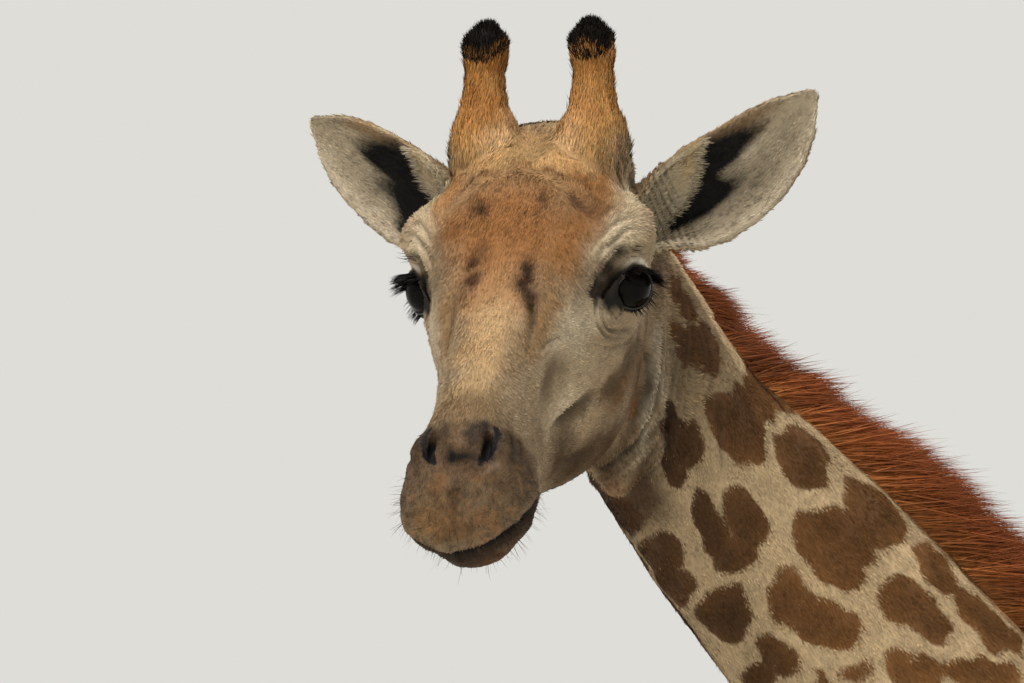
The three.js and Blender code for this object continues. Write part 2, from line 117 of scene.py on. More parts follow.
def wander(points, size, seed):
    """Soft random values from -1 to 1 that change over about size, at points."""
    lattice = np.random.default_rng(seed).uniform(-1, 1, (32, 32, 32))
    p = points / size + 7.3 * (seed % 11)
    cell = np.floor(p).astype(int)
    f = p - cell
    f = f * f * (3 - 2 * f)
    total = np.zeros(len(p))
    for corner in range(8):
        step = np.array([corner & 1, corner >> 1 & 1, corner >> 2 & 1])
        share = np.prod(np.where(step, f, 1 - f), axis=1)
        i, j, k = ((cell + step) & 31).T
        total += share * lattice[i, j, k]
    return total * 1.6


def drift(points, size, seed):
    """Soft random steps in all three directions, from three seeds in a row."""
    return np.stack([wander(points, size, seed + k) for k in range(3)], axis=1)


def line_distance(points, line):
    """How far points are from a line through a few points, and how far along it, from 0 to 1."""
    line = np.asarray(line, float)
    steps = lengths(np.diff(line, axis=0))
    starts = np.concatenate([[0], np.cumsum(steps)])
    best = np.full(len(points), 1e9)
    share = np.zeros(len(points))
    for a, b, start, step in zip(line[:-1], line[1:], starts, steps):
        t = np.clip((points - a) @ (b - a) / step**2, 0, 1)
        d = lengths(points - a - t[:, None] * (b - a))
        nearer = d < best
        best[nearer] = d[nearer]
        share[nearer] = (start + t[nearer] * step) / starts[-1]
    return best, share


def curve(points, count):
    """A smooth line through points, as count points evenly placed."""
    p = np.asarray(points, float)
    p = np.vstack([2 * p[0] - p[1], p, 2 * p[-1] - p[-2]])
    out = []
    for i in range(1, len(p) - 2):
        t = np.linspace(0, 1, 40, endpoint=False)[:, None]
        a, b, c, d = p[i - 1 : i + 3]
        bend = (2 * a - 5 * b + 4 * c - d) * t**2 + (3 * b - a - 3 * c + d) * t**3
        out.append(0.5 * (2 * b + (c - a) * t + bend))
    out = np.vstack(out + [p[-2:-1]])
    along = np.concatenate([[0], np.cumsum(lengths(np.diff(out, axis=0)))])
    want = np.linspace(0, along[-1], count)
    return np.stack([np.interp(want, along, out[:, k]) for k in range(3)], axis=1)


# The giraffe's own directions. The head's are x to its left, y back from the nose and z up, in millimetres
# from between the eyes.

TURN, NOD, SLOPE = math.radians(52), math.radians(35), math.radians(46)
LEFT = np.array([math.cos(TURN), math.sin(TURN), 0])
BACK = np.array([-math.sin(TURN) * math.cos(NOD), math.cos(TURN) * math.cos(NOD), math.sin(NOD)])
HEAD_AXES = np.stack([LEFT, BACK, np.cross(LEFT, BACK)])
EYE = np.array([108, -14, 12.0])
BOTH_SIDES = (1, -1)
SIDE_NAMES = {1: "left", -1: "right"}


def middle(node):
    """The middle of a CAD node's box."""
    low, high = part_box(node)
    return np.array((low + high) / 2)


HEAD_AT = (middle("eye_left") + middle("eye_right")) / 2 - (0, EYE[1] * MM, EYE[2] * MM) @ HEAD_AXES


def to_head(points):
    """Row frame metres to the head's millimetres."""
    return (points - HEAD_AT) @ HEAD_AXES.T / MM


def from_head(points):
    """The head's millimetres to row frame metres."""
    return HEAD_AT + np.asarray(points, float) @ HEAD_AXES * MM


def mirrored(points, side):
    """Points given for the head's left side, on the side asked for: 1 is the left and -1 the right."""
    return np.array(points, float) * (side, 1, 1)


def from_eye(points, side):
    """How far points, in the head's millimetres, are from one eye's middle."""
    return lengths(points - EYE * (side, 1, 1))


def neck_line():
    """The neck's middle line from the head to the shoulders, a point each 5 mm or so."""
    straight = HEAD_AT + np.array([-0.175, 0.398, -0.307])
    down = np.array([0, math.cos(SLOPE), -math.sin(SLOPE)]) * 1.5
    points = [from_head((0, 120, 20)), from_head((6, 182, -30))]
    points += [HEAD_AT + np.array([-0.15, 0.19, -0.038]), HEAD_AT + np.array([-0.168, 0.26, -0.157])]
    points += [straight] + [straight + down * share for share in (0.3, 0.65, 1)]
    return curve(points, 400)


NECK = neck_line()
NECK_LENGTH = lengths(np.diff(NECK, axis=0)).sum()
NECK_STEP = NECK_LENGTH / (len(NECK) - 1)


def neck_frames():
    """At each point of the neck line: its direction, the nape's and its left side's."""
    along = unit(np.gradient(NECK, axis=0))
    share = ease(np.linspace(0, 1, len(NECK)), 0.02, 0.4)[:, None]
    nape = (1 - share) * (HEAD_AXES[1] + 0.2 * HEAD_AXES[2])
    nape = nape + share * np.array([0, math.sin(SLOPE), math.cos(SLOPE)])
    nape = unit(flattened(nape, along))
    return along, nape, np.cross(along, nape)


NECK_ALONG, NECK_NAPE, NECK_SIDE = neck_frames()


def to_neck(points):
    """How far down the neck points lie in mm, and how far round it in degrees from the nape to its right."""
    place = np.empty(len(points), int)
    for start in range(0, len(points), BLOCK):
        block = points[start : start + BLOCK]
        gap = (block**2).sum(1)[:, None] - 2 * block @ NECK.T + (NECK**2).sum(1)
        place[start : start + BLOCK] = gap.argmin(1)
    out = points - NECK[place]
    extra = (out * NECK_ALONG[place]).sum(1)
    side = (out * NECK_SIDE[place]).sum(1)
    round_it = np.degrees(np.arctan2(-side, (out * NECK_NAPE[place]).sum(1)))
    return (place * NECK_STEP + extra) / MM, round_it


def neck_place(down):
    """Which points of the neck's line lie that far down it in mm."""
    return np.clip((down * MM / NECK_STEP).astype(int), 0, len(NECK) - 1)


def from_neck(down, degrees, reach):
    """The point that far down and round the neck and reach mm off its line, with its direction there."""
    k = min(int(round(down * MM / NECK_STEP)), len(NECK) - 1)
    a = math.radians(degrees)
    out = NECK_NAPE[k] * math.cos(a) - NECK_SIDE[k] * math.sin(a)
    return NECK[k] + out * reach * MM, NECK_ALONG[k]


# Mesh helpers


def welded(node, grow):
    """A CAD node as a mesh with shared corners, moved out along its normals by grow."""
    shape = bmesh.new()
    shape.from_mesh(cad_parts[node].data)
    bmesh.ops.remove_doubles(shape, verts=shape.verts, dist=1e-5)
    shape.normal_update()
    for v in shape.verts:
        v.co += v.normal * grow
    return shape


def arrays_of(mesh):
    """A mesh's points and triangles as arrays."""
    mesh.calc_loop_triangles()
    points = np.empty(len(mesh.vertices) * 3)
    mesh.vertices.foreach_get("co", points)
    corners = np.empty(len(mesh.loop_triangles) * 3, np.int32)
    mesh.loop_triangles.foreach_get("vertices", corners)
    return points.reshape(-1, 3), corners.reshape(-1, 3)


def mesh_from(name, points, faces):
    """A mesh datablock from arrays of points and of triangles or quads."""
    faces = np.asarray(faces, np.int32)
    mesh = bpy.data.meshes.new(name)
    mesh.vertices.add(len(points))
    mesh.vertices.foreach_set("co", np.asarray(points, np.float32).ravel())
    mesh.loops.add(faces.size)
    mesh.loops.foreach_set("vertex_index", faces.ravel())
    mesh.polygons.add(len(faces))
    mesh.polygons.foreach_set("loop_start", np.arange(0, faces.size, faces.shape[1], dtype=np.int32))
    mesh.update(calc_edges=True)
    mesh.shade_smooth()
    return mesh


def put_attribute(mesh, name, kind, values):
    """Stores one value for each point: kind is FLOAT, FLOAT_VECTOR or FLOAT_COLOR."""
    layer = mesh.attributes.get(name) or mesh.attributes.new(name, kind, "POINT")
    field = {"FLOAT": "value", "FLOAT_VECTOR": "vector", "FLOAT_COLOR": "color"}[kind]
    values = np.asarray(values, np.float32)
    if kind == "FLOAT_COLOR" and values.shape[1] == 3:
        values = np.hstack([values, np.ones((len(values), 1), np.float32)])
    layer.data.foreach_set(field, values.ravel())


def put_map(mesh, faces, places):
    """Stores where each point lies on the flat map that a surface's picture is baked on."""
    layer = mesh.uv_layers.new(name="OFBake")
    layer.uv.foreach_set("vector", places[faces.ravel()].astype(np.float32).ravel())


def get_attribute(mesh, name, width):
    """The values that put_attribute stored."""
    field = {1: "value", 3: "vector", 4: "color"}[width]
    values = np.empty(len(mesh.vertices) * width, np.float32)
    mesh.attributes[name].data.foreach_get(field, values)
    return values.reshape(-1, width) if width > 1 else values


def add_piece(name, mesh, material, replaced=()):
    """Links a mesh as a piece of the giraffe that rides on its body."""
    piece = bpy.data.objects.new(name, mesh)
    bpy.context.scene.collection.objects.link(piece)
    mesh.materials.append(material)
    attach(piece, "root")
    if replaced:
        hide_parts(*replaced)
    return piece


def edges_of(faces):
    """Each edge of some triangles once, and how many triangles use it."""
    pairs = np.sort(np.vstack([faces[:, :2], faces[:, 1:], faces[:, ::2]]), axis=1)
    return np.unique(pairs, axis=0, return_counts=True)


def averages(values, edges, count):
    """Each point's mean over its neighbours."""
    a, b = edges.T
    degree = np.bincount(a, minlength=count) + np.bincount(b, minlength=count)
    total = np.empty_like(values)
    for k in range(values.shape[1]):
        total[:, k] = np.bincount(a, values[b, k], count) + np.bincount(b, values[a, k], count)
    return total / np.maximum(degree, 1)[:, None]


def smoothed(values, edges, rounds):
    """One value for each point, averaged over its neighbours a few times."""
    for _ in range(rounds):
        values = averages(values[:, None], edges, len(values))[:, 0]
    return values


def relax(points, edges, rounds, weight):
    """Smooths points without shrinking them: a step in, then a step out, where weight allows."""
    points = points.copy()
    for turn in range(rounds):
        for step in (0.5, -0.52):
            goal = averages(points, edges, len(points)) - points
            points += (step * weight * (weight * rounds > turn))[:, None] * goal
    return points


def normals_of(points, faces):
    """Each point's normal, from the areas of the triangles round it."""
    a, b, c = points[faces].transpose(1, 0, 2)
    face_normals = np.cross(b - a, c - a)
    total = np.zeros((len(points), 3))
    for corner in range(3):
        for k in range(3):
            total[:, k] += np.bincount(faces[:, corner], face_normals[:, k], len(points))
    return unit(total)


def remeshed(nodes, voxel, grow):
    """The nodes joined into one closed surface with even faces of about voxel."""
    joined = bmesh.new()
    for node in nodes:
        scrap = bpy.data.meshes.new(node + "_grown")
        welded(node, grow).to_mesh(scrap)
        joined.from_mesh(scrap)
        bpy.data.meshes.remove(scrap)
    mesh = bpy.data.meshes.new("joined")
    joined.to_mesh(mesh)
    scrap = bpy.data.objects.new("joined", mesh)
    bpy.context.scene.collection.objects.link(scrap)
    change = scrap.modifiers.new("even", "REMESH")
    change.mode = "VOXEL"
    change.voxel_size = voxel
    even = scrap.evaluated_get(bpy.context.evaluated_depsgraph_get())
    points, faces = arrays_of(even.to_mesh())
    bpy.data.objects.remove(scrap)
    bpy.data.meshes.remove(mesh)
    return points, faces


# How far apart in metres two zones of the skin end before they are joined.
SEAM = 0.004


def trimmed(points, faces, at, direction, keep_far):
    """A surface cut at a plane, keeping the side the direction points to or the other."""
    shape = bmesh.new()
    scrap = mesh_from("trim", points, faces)
    shape.from_mesh(scrap)
    bpy.data.meshes.remove(scrap)
    everything = shape.verts[:] + shape.edges[:] + shape.faces[:]
    sides = {"clear_inner": keep_far, "clear_outer": not keep_far}
    bmesh.ops.bisect_plane(shape, geom=everything, plane_co=at, plane_no=direction, **sides)
    bmesh.ops.triangulate(shape, faces=shape.faces[:])
    mesh = bpy.data.meshes.new("trim")
    shape.to_mesh(mesh)
    shape.free()
    points, faces = arrays_of(mesh)
    bpy.data.meshes.remove(mesh)
    return points, faces


def rim(points, faces, at, direction, sideways):
    """The points of a surface's open edge on a plane, in order of angle, and those angles."""
    pairs, uses = edges_of(faces)
    found = np.unique(pairs[uses == 1])
    found = found[np.abs((points[found] - at) @ direction) < 1e-4]
    out = points[found] - points[found].mean(0)
    angle = np.arctan2(out @ np.cross(direction, sideways), out @ sideways)
    order = angle.argsort()
    return found[order], angle[order]


def zipped(near, far, at, direction):
    """Two surfaces that end at the same plane joined by a strip of triangles between their rims."""
    sideways = unit(np.cross(direction, (0, 0, 1.0)))
    a, angle_a = rim(*near, at, direction, sideways)
    b, angle_b = rim(*far, at + direction * SEAM, direction, sideways)
    offset = len(near[0])
    strip = []
    i = j = 0
    turns_a, turns_b = (np.concatenate([a, a + 2 * math.pi, a + 4 * math.pi]) for a in (angle_a, angle_b))
    while i < len(a) or j < len(b):
        here, there = a[i % len(a)], offset + b[j % len(b)]
        if j >= len(b) or (i < len(a) and turns_a[i + 1] <= turns_b[j + 1]):
            i += 1
            strip.append((here, there, a[i % len(a)]))
        else:
            j += 1
            strip.append((here, there, offset + b[j % len(b)]))
    points, strip = np.vstack([near[0], far[0]]), np.array(strip)
    corners = points[strip]
    facing = np.cross(corners[:, 1] - corners[:, 0], corners[:, 2] - corners[:, 0])
    inward = (facing * (corners.mean(1) - at)).sum(1).sum() < 0
    strip = strip[:, ::-1] if inward else strip
    return points, np.vstack([near[1], far[1] + offset, strip])


def nearest_nodes(points, nodes):
    """Which of the CAD nodes each point lies on or nearest to, as places in nodes."""
    corners, faces, owner, count = [], [], [], 0
    for k, node in enumerate(nodes):
        p, f = arrays_of(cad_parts[node].data)
        corners.append(p)
        faces.append(f + count)
        owner += [k] * len(f)
        count += len(p)
    tree = BVHTree.FromPolygons(np.vstack(corners).tolist(), np.vstack(faces).tolist())
    return np.array([owner[tree.find_nearest(p)[2]] for p in points.tolist()])


# The shape of the face, its folds and its lids

# Each fold: how wide it is, how deep, and points along it on the left side, all in the head's millimetres.
# Both sides have it unless the row ends with the one side that does, where 1 is the left and -1 the right.
FOLDS = {
    "brow crease": (3.4, 5.0, [(89, -76, 41), (95, -57, 50), (105, -38, 56), (119, -21, 58),
        (133, -6, 52)]),
    "first brow wrinkle": (2.4, 2.4, [(90, -52, 64), (97, -35, 71), (107, -21, 73), (118, -12, 71)]),
    "second brow wrinkle": (2.4, 2.4, [(100, -35, 68), (108, -19, 74), (120, -2, 76), (131, 4, 72)]),
    "third brow wrinkle": (2.4, 2.0, [(93, -28, 79), (103, -10, 84), (115, 6, 84), (125, 14, 79)]),
    "fourth brow wrinkle": (2.2, 1.6, [(88, -12, 90), (98, 8, 94), (108, 24, 92)]),
    "lower lid bag": (2.6, 3.2, [(101, -65, 21), (99, -75, 11), (101, -79, -1), (105, -54, -21),
        (109, -16, -39)]),
    "outer bag": (2.6, 2.4, [(97, -69, 32), (95, -80, 19), (95, -89, 5), (100, -75, -16), (106, -40, -36)]),
    "under the bag": (3.5, 1.8, [(92, -88, -18), (98, -70, -32), (107, -34, -46), (112, 0, -48)]),
    "side of the nose": (5, 2.4, [(44, -134, 66), (46, -168, 49), (45, -192, 37)]),
    "nose crease": (3.0, 2.2, [(53, -181, 30), (58, -169, 31), (68, -144, 29)]),
    "below the crest": (6, 5.0, [(58, -203, -48), (63, -176, -51), (68, -147, -57), (78, -112, -66)]),
    "above the crest": (13, 4.5, [(58, -210, -18), (61, -190, -6), (65, -170, 4), (74, -138, 2)]),
    "under the masseter": (8, 3.0, [(52, -190, -98), (57, -170, -109), (62, -144, -122), (68, -116, -136)]),
    "back of the jaw": (6, 4.5, [(95, 71, -91), (92, 74, -130), (89, 58, -157), (79, 39, -177),
        (61, 27, -196)]),
    "first throat fold": (4.0, 6.5, [(99, 139, -93), (103, 103, -122), (98, 59, -171), (72, 27, -209),
        (46, 21, -227), (12, 45, -253)]),
    "second throat fold": (3.6, 5.5, [(104, 137, -104), (108, 105, -130), (103, 58, -183), (71, 24, -222),
        (47, 20, -240), (16, 42, -264)]),
    "third throat fold": (3.8, 6.0, [(112, 127, -123), (112, 98, -151), (105, 51, -201), (70, 20, -235),
        (41, 21, -257)]),
    "fourth throat fold": (3.6, 4.5, [(117, 127, -136), (118, 98, -163), (109, 48, -215), (74, 19, -249),
        (51, 20, -267)]),
    "first neck fold": (3.6, 3.4, [(114, 169, -111), (120, 133, -140), (121, 102, -162)]),
    "second neck fold": (3.6, 3.2, [(125, 165, -134), (132, 145, -160), (136, 116, -190)]),
    "third neck fold": (4.0, 3.0, [(149, 127, -207), (151, 100, -234), (151, 69, -272)]),
    "fourth neck fold": (3.4, 4.0, [(106, 71, -172), (105, 50, -203), (100, 31, -242)]),
    "first ear fold": (3.2, 3.4, [(98, 150, -20), (94, 170, -46), (93, 174, -65), (98, 149, -86)]),
    "second ear fold": (3.0, 3.0, [(104, 176, -30), (98, 196, -60), (98, 197, -79), (105, 149, -99)]),
    "nostril": (3.0, 2.5, [(36, -312, 15), (40, -322, 12), (36, -340, 8), (25, -354, -1)]),
    "beside the nostril": (5, 2.4, [(52, -300, 4), (56, -322, -3), (48, -344, -13)]),
    "lip, left": (3.2, 6.0, [(-1, -397, -86), (22, -396, -81), (43, -387, -73), (59, -379, -64),
        (70, -350, -62), (70, -300, -66), (64, -256, -76)], 1),
    "lip, right": (3.2, 6.0, [(1, -397, -86), (25, -387, -90), (47, -380, -83), (62, -364, -70),
        (69, -330, -64), (66, -290, -67), (62, -256, -75)], -1),
    "lip parting": (3.5, 1.4, [(0, -362, -16), (0, -384, -34), (0, -396, -56)], 1),
}

# Each swelling: its middle and half sizes on the left side in the head's millimetres, and its height. Both
# sides have it.
SWELLINGS = {
    "facial crest": ((65, -160, -43), (16, 60, 9), 6.5),
    "back of the crest": ((87, -88, -53), (16, 26, 10), 4.0),
    "masseter": ((70, -132, -80), (22, 40, 18), 4.5),
    "cheek below the eye": ((100, -40, -66), (16, 26, 14), 2.0),
    "tear hollow": ((92, -66, 22), (20, 22, 18), -7.0),
    "brow above the eye": ((118, -12, 62), (16, 26, 10), 3.0),
    "nostril wing": ((50, -328, 10), (8, 20, 12), 3.2),
    "nostril rim": ((20, -336, 13), (6, 18, 8), 1.2),
    "lip corner": ((66, -322, -46), (12, 34, 14), 2.5),
    "lower lip hollow": ((40, -372, -98), (44, 26, 9), -3.0),
    "upper lip edge": ((36, -386, -62), (34, 18, 12), 2.0),
    "between nostrils": ((0, -348, 2), (9, 12, 12), -3.5),
    "chin": ((8, -384, -102), (40, 24, 14), 6.0),
    "beside the horn": ((27, 84, 122), (14, 36, 14), 7.0),
    "first throat roll": ((92, 44, -178), (20, 30, 12), 2.0),
}

# How many degrees the lids stand open each way from the gaze, how square their opening is (2 is an
# ellipse) and how far in mm they stand off the ball.
LID_ANGLES = {"front": 66, "back": 56, "up": 56, "down": 44}
LID_CURVE = 1.75
LID_DEPTH = 2.8


def eye_frame(side):
    """One eye's middle, its gaze and the directions of its front corner and its upper lid."""
    forward, tilt = math.radians(38), math.radians(8)
    gaze = np.array([side * math.cos(forward), -math.sin(forward), 0.03])
    gaze = unit(gaze)
    front = unit(np.array([-side * math.sin(forward), -math.cos(forward), 0]))
    up = np.cross(gaze, front) * side * -1
    up = unit(up if up[2] > 0 else -up)
    turned_front = front * math.cos(tilt) + up * math.sin(tilt)
    turned_up = up * math.cos(tilt) - front * math.sin(tilt)
    return EYE * (side, 1, 1), gaze, turned_front, turned_up


def lid_opening(front_share, up_share):
    """How many degrees the lids stand open in directions given by how far they lean to the front and up."""
    wide = np.where(front_share > 0, LID_ANGLES["front"], LID_ANGLES["back"])
    high = np.where(up_share > 0, LID_ANGLES["up"], LID_ANGLES["down"])
    p = LID_CURVE
    return (np.abs(front_share / wide) ** p + np.abs(up_share / high) ** p + 1e-9) ** (-1 / p)


def eye_angles(points, side):
    """Where points lie round an eye: degrees from its gaze, its opening there, their lean up and ahead."""
    centre, gaze, front, up = eye_frame(side)
    out = unit(points - centre)
    away = np.degrees(np.arccos(np.clip(out @ gaze, -1, 1)))
    a, b = out @ front, out @ up
    length = np.maximum(np.hypot(a, b), 1e-6)
    return away, lid_opening(a / length, b / length), b / length, a / length


def lids(points, radius):
    """Points of the face shaped into lids over both eyes: open in front, standing LID_DEPTH off the ball."""
    points = points.copy()
    for side in BOTH_SIDES:
        centre, gaze, _, _ = eye_frame(side)
        out = points - centre
        reach = lengths(out)
        near = np.flatnonzero(reach < 62)
        away, edge, lean, _ = eye_angles(points[near], side)
        here, direction = reach[near], unit(out[near])
        past = away - edge
        snap = np.abs(past) < 3.2
        turn = np.where(snap, -past, 0)
        axis = unit(np.cross(gaze, direction))
        angle = np.radians(turn)[:, None]
        direction = direction * np.cos(angle) + np.cross(axis, direction) * np.sin(angle)
        past = past + turn
        thick = 0.3 + LID_DEPTH * ease(past, 0, 7)
        thick = thick + 2.2 * bell(past - 14, 7) * ease(lean, 0.1, 0.7)
        shell = radius + thick
        blend = ease(past, 14, 44)
        outer = np.where(here > shell, here, shell)
        target = np.where(past < -0.5, radius - 4.5, shell * (1 - blend) + outer * blend)
        target = np.where((past >= -0.5) & (past < 0.5), radius + 0.2, target)
        keep = ease(here, 40, 60)
        target = np.where(past < -0.5, target, target * (1 - keep) + here * keep)
        mine = (away < 118) & ((here < 36) | (past > 0))
        moved = centre + direction * target[:, None]
        points[near[mine]] = moved[mine]
    return points


def snapped(line, points):
    """A smooth line through a few points, laid on the nearest of the surface's points."""
    line = curve(line, 24)
    found = np.array([points[((points - p) ** 2).sum(1).argmin()] for p in line])
    found[1:-1] = (found[:-2] + found[1:-1] + found[2:]) / 3
    return found


def shape_face(points, normals, radius):
    """The head's points with swellings, folds and lids, how deep in a fold each lies as an amount of painted
    shade, and if it is bare.
    """
    move = np.zeros(len(points))
    bare = np.zeros(len(points))
    for centre, sizes, height in SWELLINGS.values():
        for side in BOTH_SIDES if centre[0] else (1,):
            gap = (points - mirrored(centre, side)) / sizes
            move += height * np.exp(-(gap**2).sum(1))
    points = points + normals * move[:, None]
    points = lids(points, radius)
    move = np.zeros(len(points))
    hollow = np.zeros(len(points))
    for name, (width, depth, line, *one_side) in FOLDS.items():
        for side in one_side or BOTH_SIDES:
            line_here = mirrored(line, side)
            boxed = (points > line_here.min(0) - 30) & (points < line_here.max(0) + 30)
            near = np.flatnonzero(np.all(boxed, axis=1))
            if len(near) < 200:
                continue
            gap, share = line_distance(points[near], snapped(line_here, points[near]))
            taper = np.sqrt(np.clip(np.sin(np.pi * np.clip(share, 0.02, 0.98)), 0, 1))
            if name.startswith("lip,"):
                taper = ease(1 - share, 0, 0.12)
            move[near] -= depth * taper * bell(gap, width)
            move[near] += 0.3 * depth * taper * bell(gap - 2.3 * width, width * 0.9) * (depth < 8)
            # How strong the painted shade in this fold is, from its depth and width; hollow keeps the
            # strongest at each point.
            dark = min(depth, 4) / 4 * min(1, 4.5 / width)
            hollow[near] = np.maximum(hollow[near], dark * taper * bell(gap, width * 0.9))
            if name == "nostril" or name.startswith("lip,"):
                clear = 1.15 if name == "nostril" else 0.8
                bare[near] = np.maximum(bare[near], (gap < clear * width) * (taper > 0.2))
    for side in BOTH_SIDES:
        floor = lengths((points - mirrored((29, -331, 1), side)) / (7.5, 20, 8))
        bare = np.maximum(bare, floor < 1)
        # The loose skin at the ear's root stands in rings 7 mm or so apart, with painted shade in the grooves
        # between them.
        out = points - mirrored((80, 108, 16), side)
        axis = unit(np.array((50.0 * side, 20, 12)))
        along = out @ axis
        off = lengths(out - along[:, None] * axis)
        ring = np.sin((along + 2.4 * wander(points, 26, 5)) * 2 * np.pi / 7.5)
        reach = ease(along, -6, 10) * (1 - ease(along, 48, 80)) * (1 - ease(off, 80, 100))
        move += 1.3 * ring * reach
        hollow = np.maximum(hollow, 0.75 * reach * ease(-ring, 0.1, 0.9))
        away, edge, _, _ = eye_angles(points, side)
        reach = from_eye(points, side)
        bare = np.maximum(bare, (away < edge + 5.5) & (reach < 45))
    move += 0.35 * wander(points, 16, 3) + 0.25 * wander(points, 7, 4)
    move *= 1 - np.clip(bare, 0, 1) * (move > -1)
    return points + normals * move[:, None], hollow, bare


# Materials


def add_node(tree, kind, settings=None, links=None):
    """Adds a node, sets its properties and unlinked sockets, and links sockets of other nodes into it."""
    made = tree.nodes.new(kind)
    for name, value in (settings or {}).items():
        if isinstance(name, str) and hasattr(made, name):
            setattr(made, name, value)
        else:
            made.inputs[name].default_value = value
    for name, source in (links or {}).items():
        tree.links.new(source, made.inputs[name])
    return made


def new_material(name, roughness, ior, extra=None):
    """A material and its node tree, with the shader's constant values on its own sockets."""
    material = bpy.data.materials.new(name)
    material.use_nodes = True
    tree = material.node_tree
    shader = tree.nodes["Principled BSDF"]
    shader.inputs["Roughness"].default_value = roughness
    shader.inputs["IOR"].default_value = ior
    for socket, value in (extra or {}).items():
        shader.inputs[socket].default_value = value
    return material, tree


def attribute(tree, name):
    """A node that reads one of the values stored at the mesh's points."""
    return add_node(tree, "ShaderNodeAttribute", {"attribute_name": name})


def noise(tree, scale, detail, place=None):
    """Cloudy values from 0 to 1, over the object's own box unless a place is linked."""
    made = add_node(tree, "ShaderNodeTexNoise", {"Scale": scale, "Detail": detail})
    if place:
        tree.links.new(place, made.inputs["Vector"])
    return made.outputs[0]


def remap(tree, source, low, high, to_low=0.0, to_high=1.0, kind="LINEAR"):
    """A value's range from low to high moved to another range."""
    kept = {"interpolation_type": kind, 1: low, 2: high, 3: to_low, 4: to_high}
    return add_node(tree, "ShaderNodeMapRange", kept, {0: source}).outputs[0]


def mixed(tree, amount, first, second):
    """Two colours mixed by an amount: each is an sRGB hex text, a colour property's value or a socket."""
    kept, links = {"data_type": "RGBA"}, {0: amount}
    for socket, shade in ((6, first), (7, second)):
        if isinstance(shade, str):
            kept[socket] = (*linear(shade), 1)
        elif isinstance(shade, np.ndarray):
            kept[socket] = (*shade, 1)
        else:
            links[socket] = shade
    return add_node(tree, "ShaderNodeMix", kept, links).outputs[2]


def scaled(tree, source, share):
    """A colour made lighter or darker by a value."""
    return add_node(
        tree, "ShaderNodeVectorMath", {"operation": "SCALE"}, {0: source, "Scale": share}
    ).outputs[0]


def bumped(tree, height, strength, distance, normal=None):
    """A normal tilted by the slopes of a height, over another normal if one is given."""
    links = {"Height": height, "Normal": normal} if normal else {"Height": height}
    return add_node(tree, "ShaderNodeBump", {"Strength": strength, "Distance": distance}, links).outputs[0]


def finished(material, sockets):
    """Links the shader's sockets and gives the material back."""
    tree = material.node_tree
    for name, source in sockets.items():
        tree.links.new(source, tree.nodes["Principled BSDF"].inputs[name])
    return material


# The markings, and how the coat lies

SKULL = ["head", "jaw"]
EARS = ["ear_left", "ear_right"]
HORNS = ["ossicone_left", "ossicone_right"]
NECK_NODES = ["neck_upper", "neck_middle", "neck_lower"]
TRUNK = ["trunk_front", "trunk_rear"]
LEGS = [f"{leg}_{part}" for leg in ("foreleg_left", "foreleg_right") for part in ("upper", "lower")]
LEGS += [f"{leg}_{part}" for leg in ("hindleg_left", "hindleg_right") for part in ("upper", "lower")]
FACE_NODES = SKULL + EARS + HORNS
BODY_NODES = TRUNK + ["tail"] + LEGS
FLESH = FACE_NODES + NECK_NODES + BODY_NODES


def among(label, nodes):
    """Which points lie on some of the flesh's nodes, from each point's place in FLESH."""
    return np.isin(label, [FLESH.index(node) for node in nodes])


def places_on(label, node):
    """The numbers of the points that lie on one of the flesh's nodes."""
    return np.flatnonzero(label == FLESH.index(node))


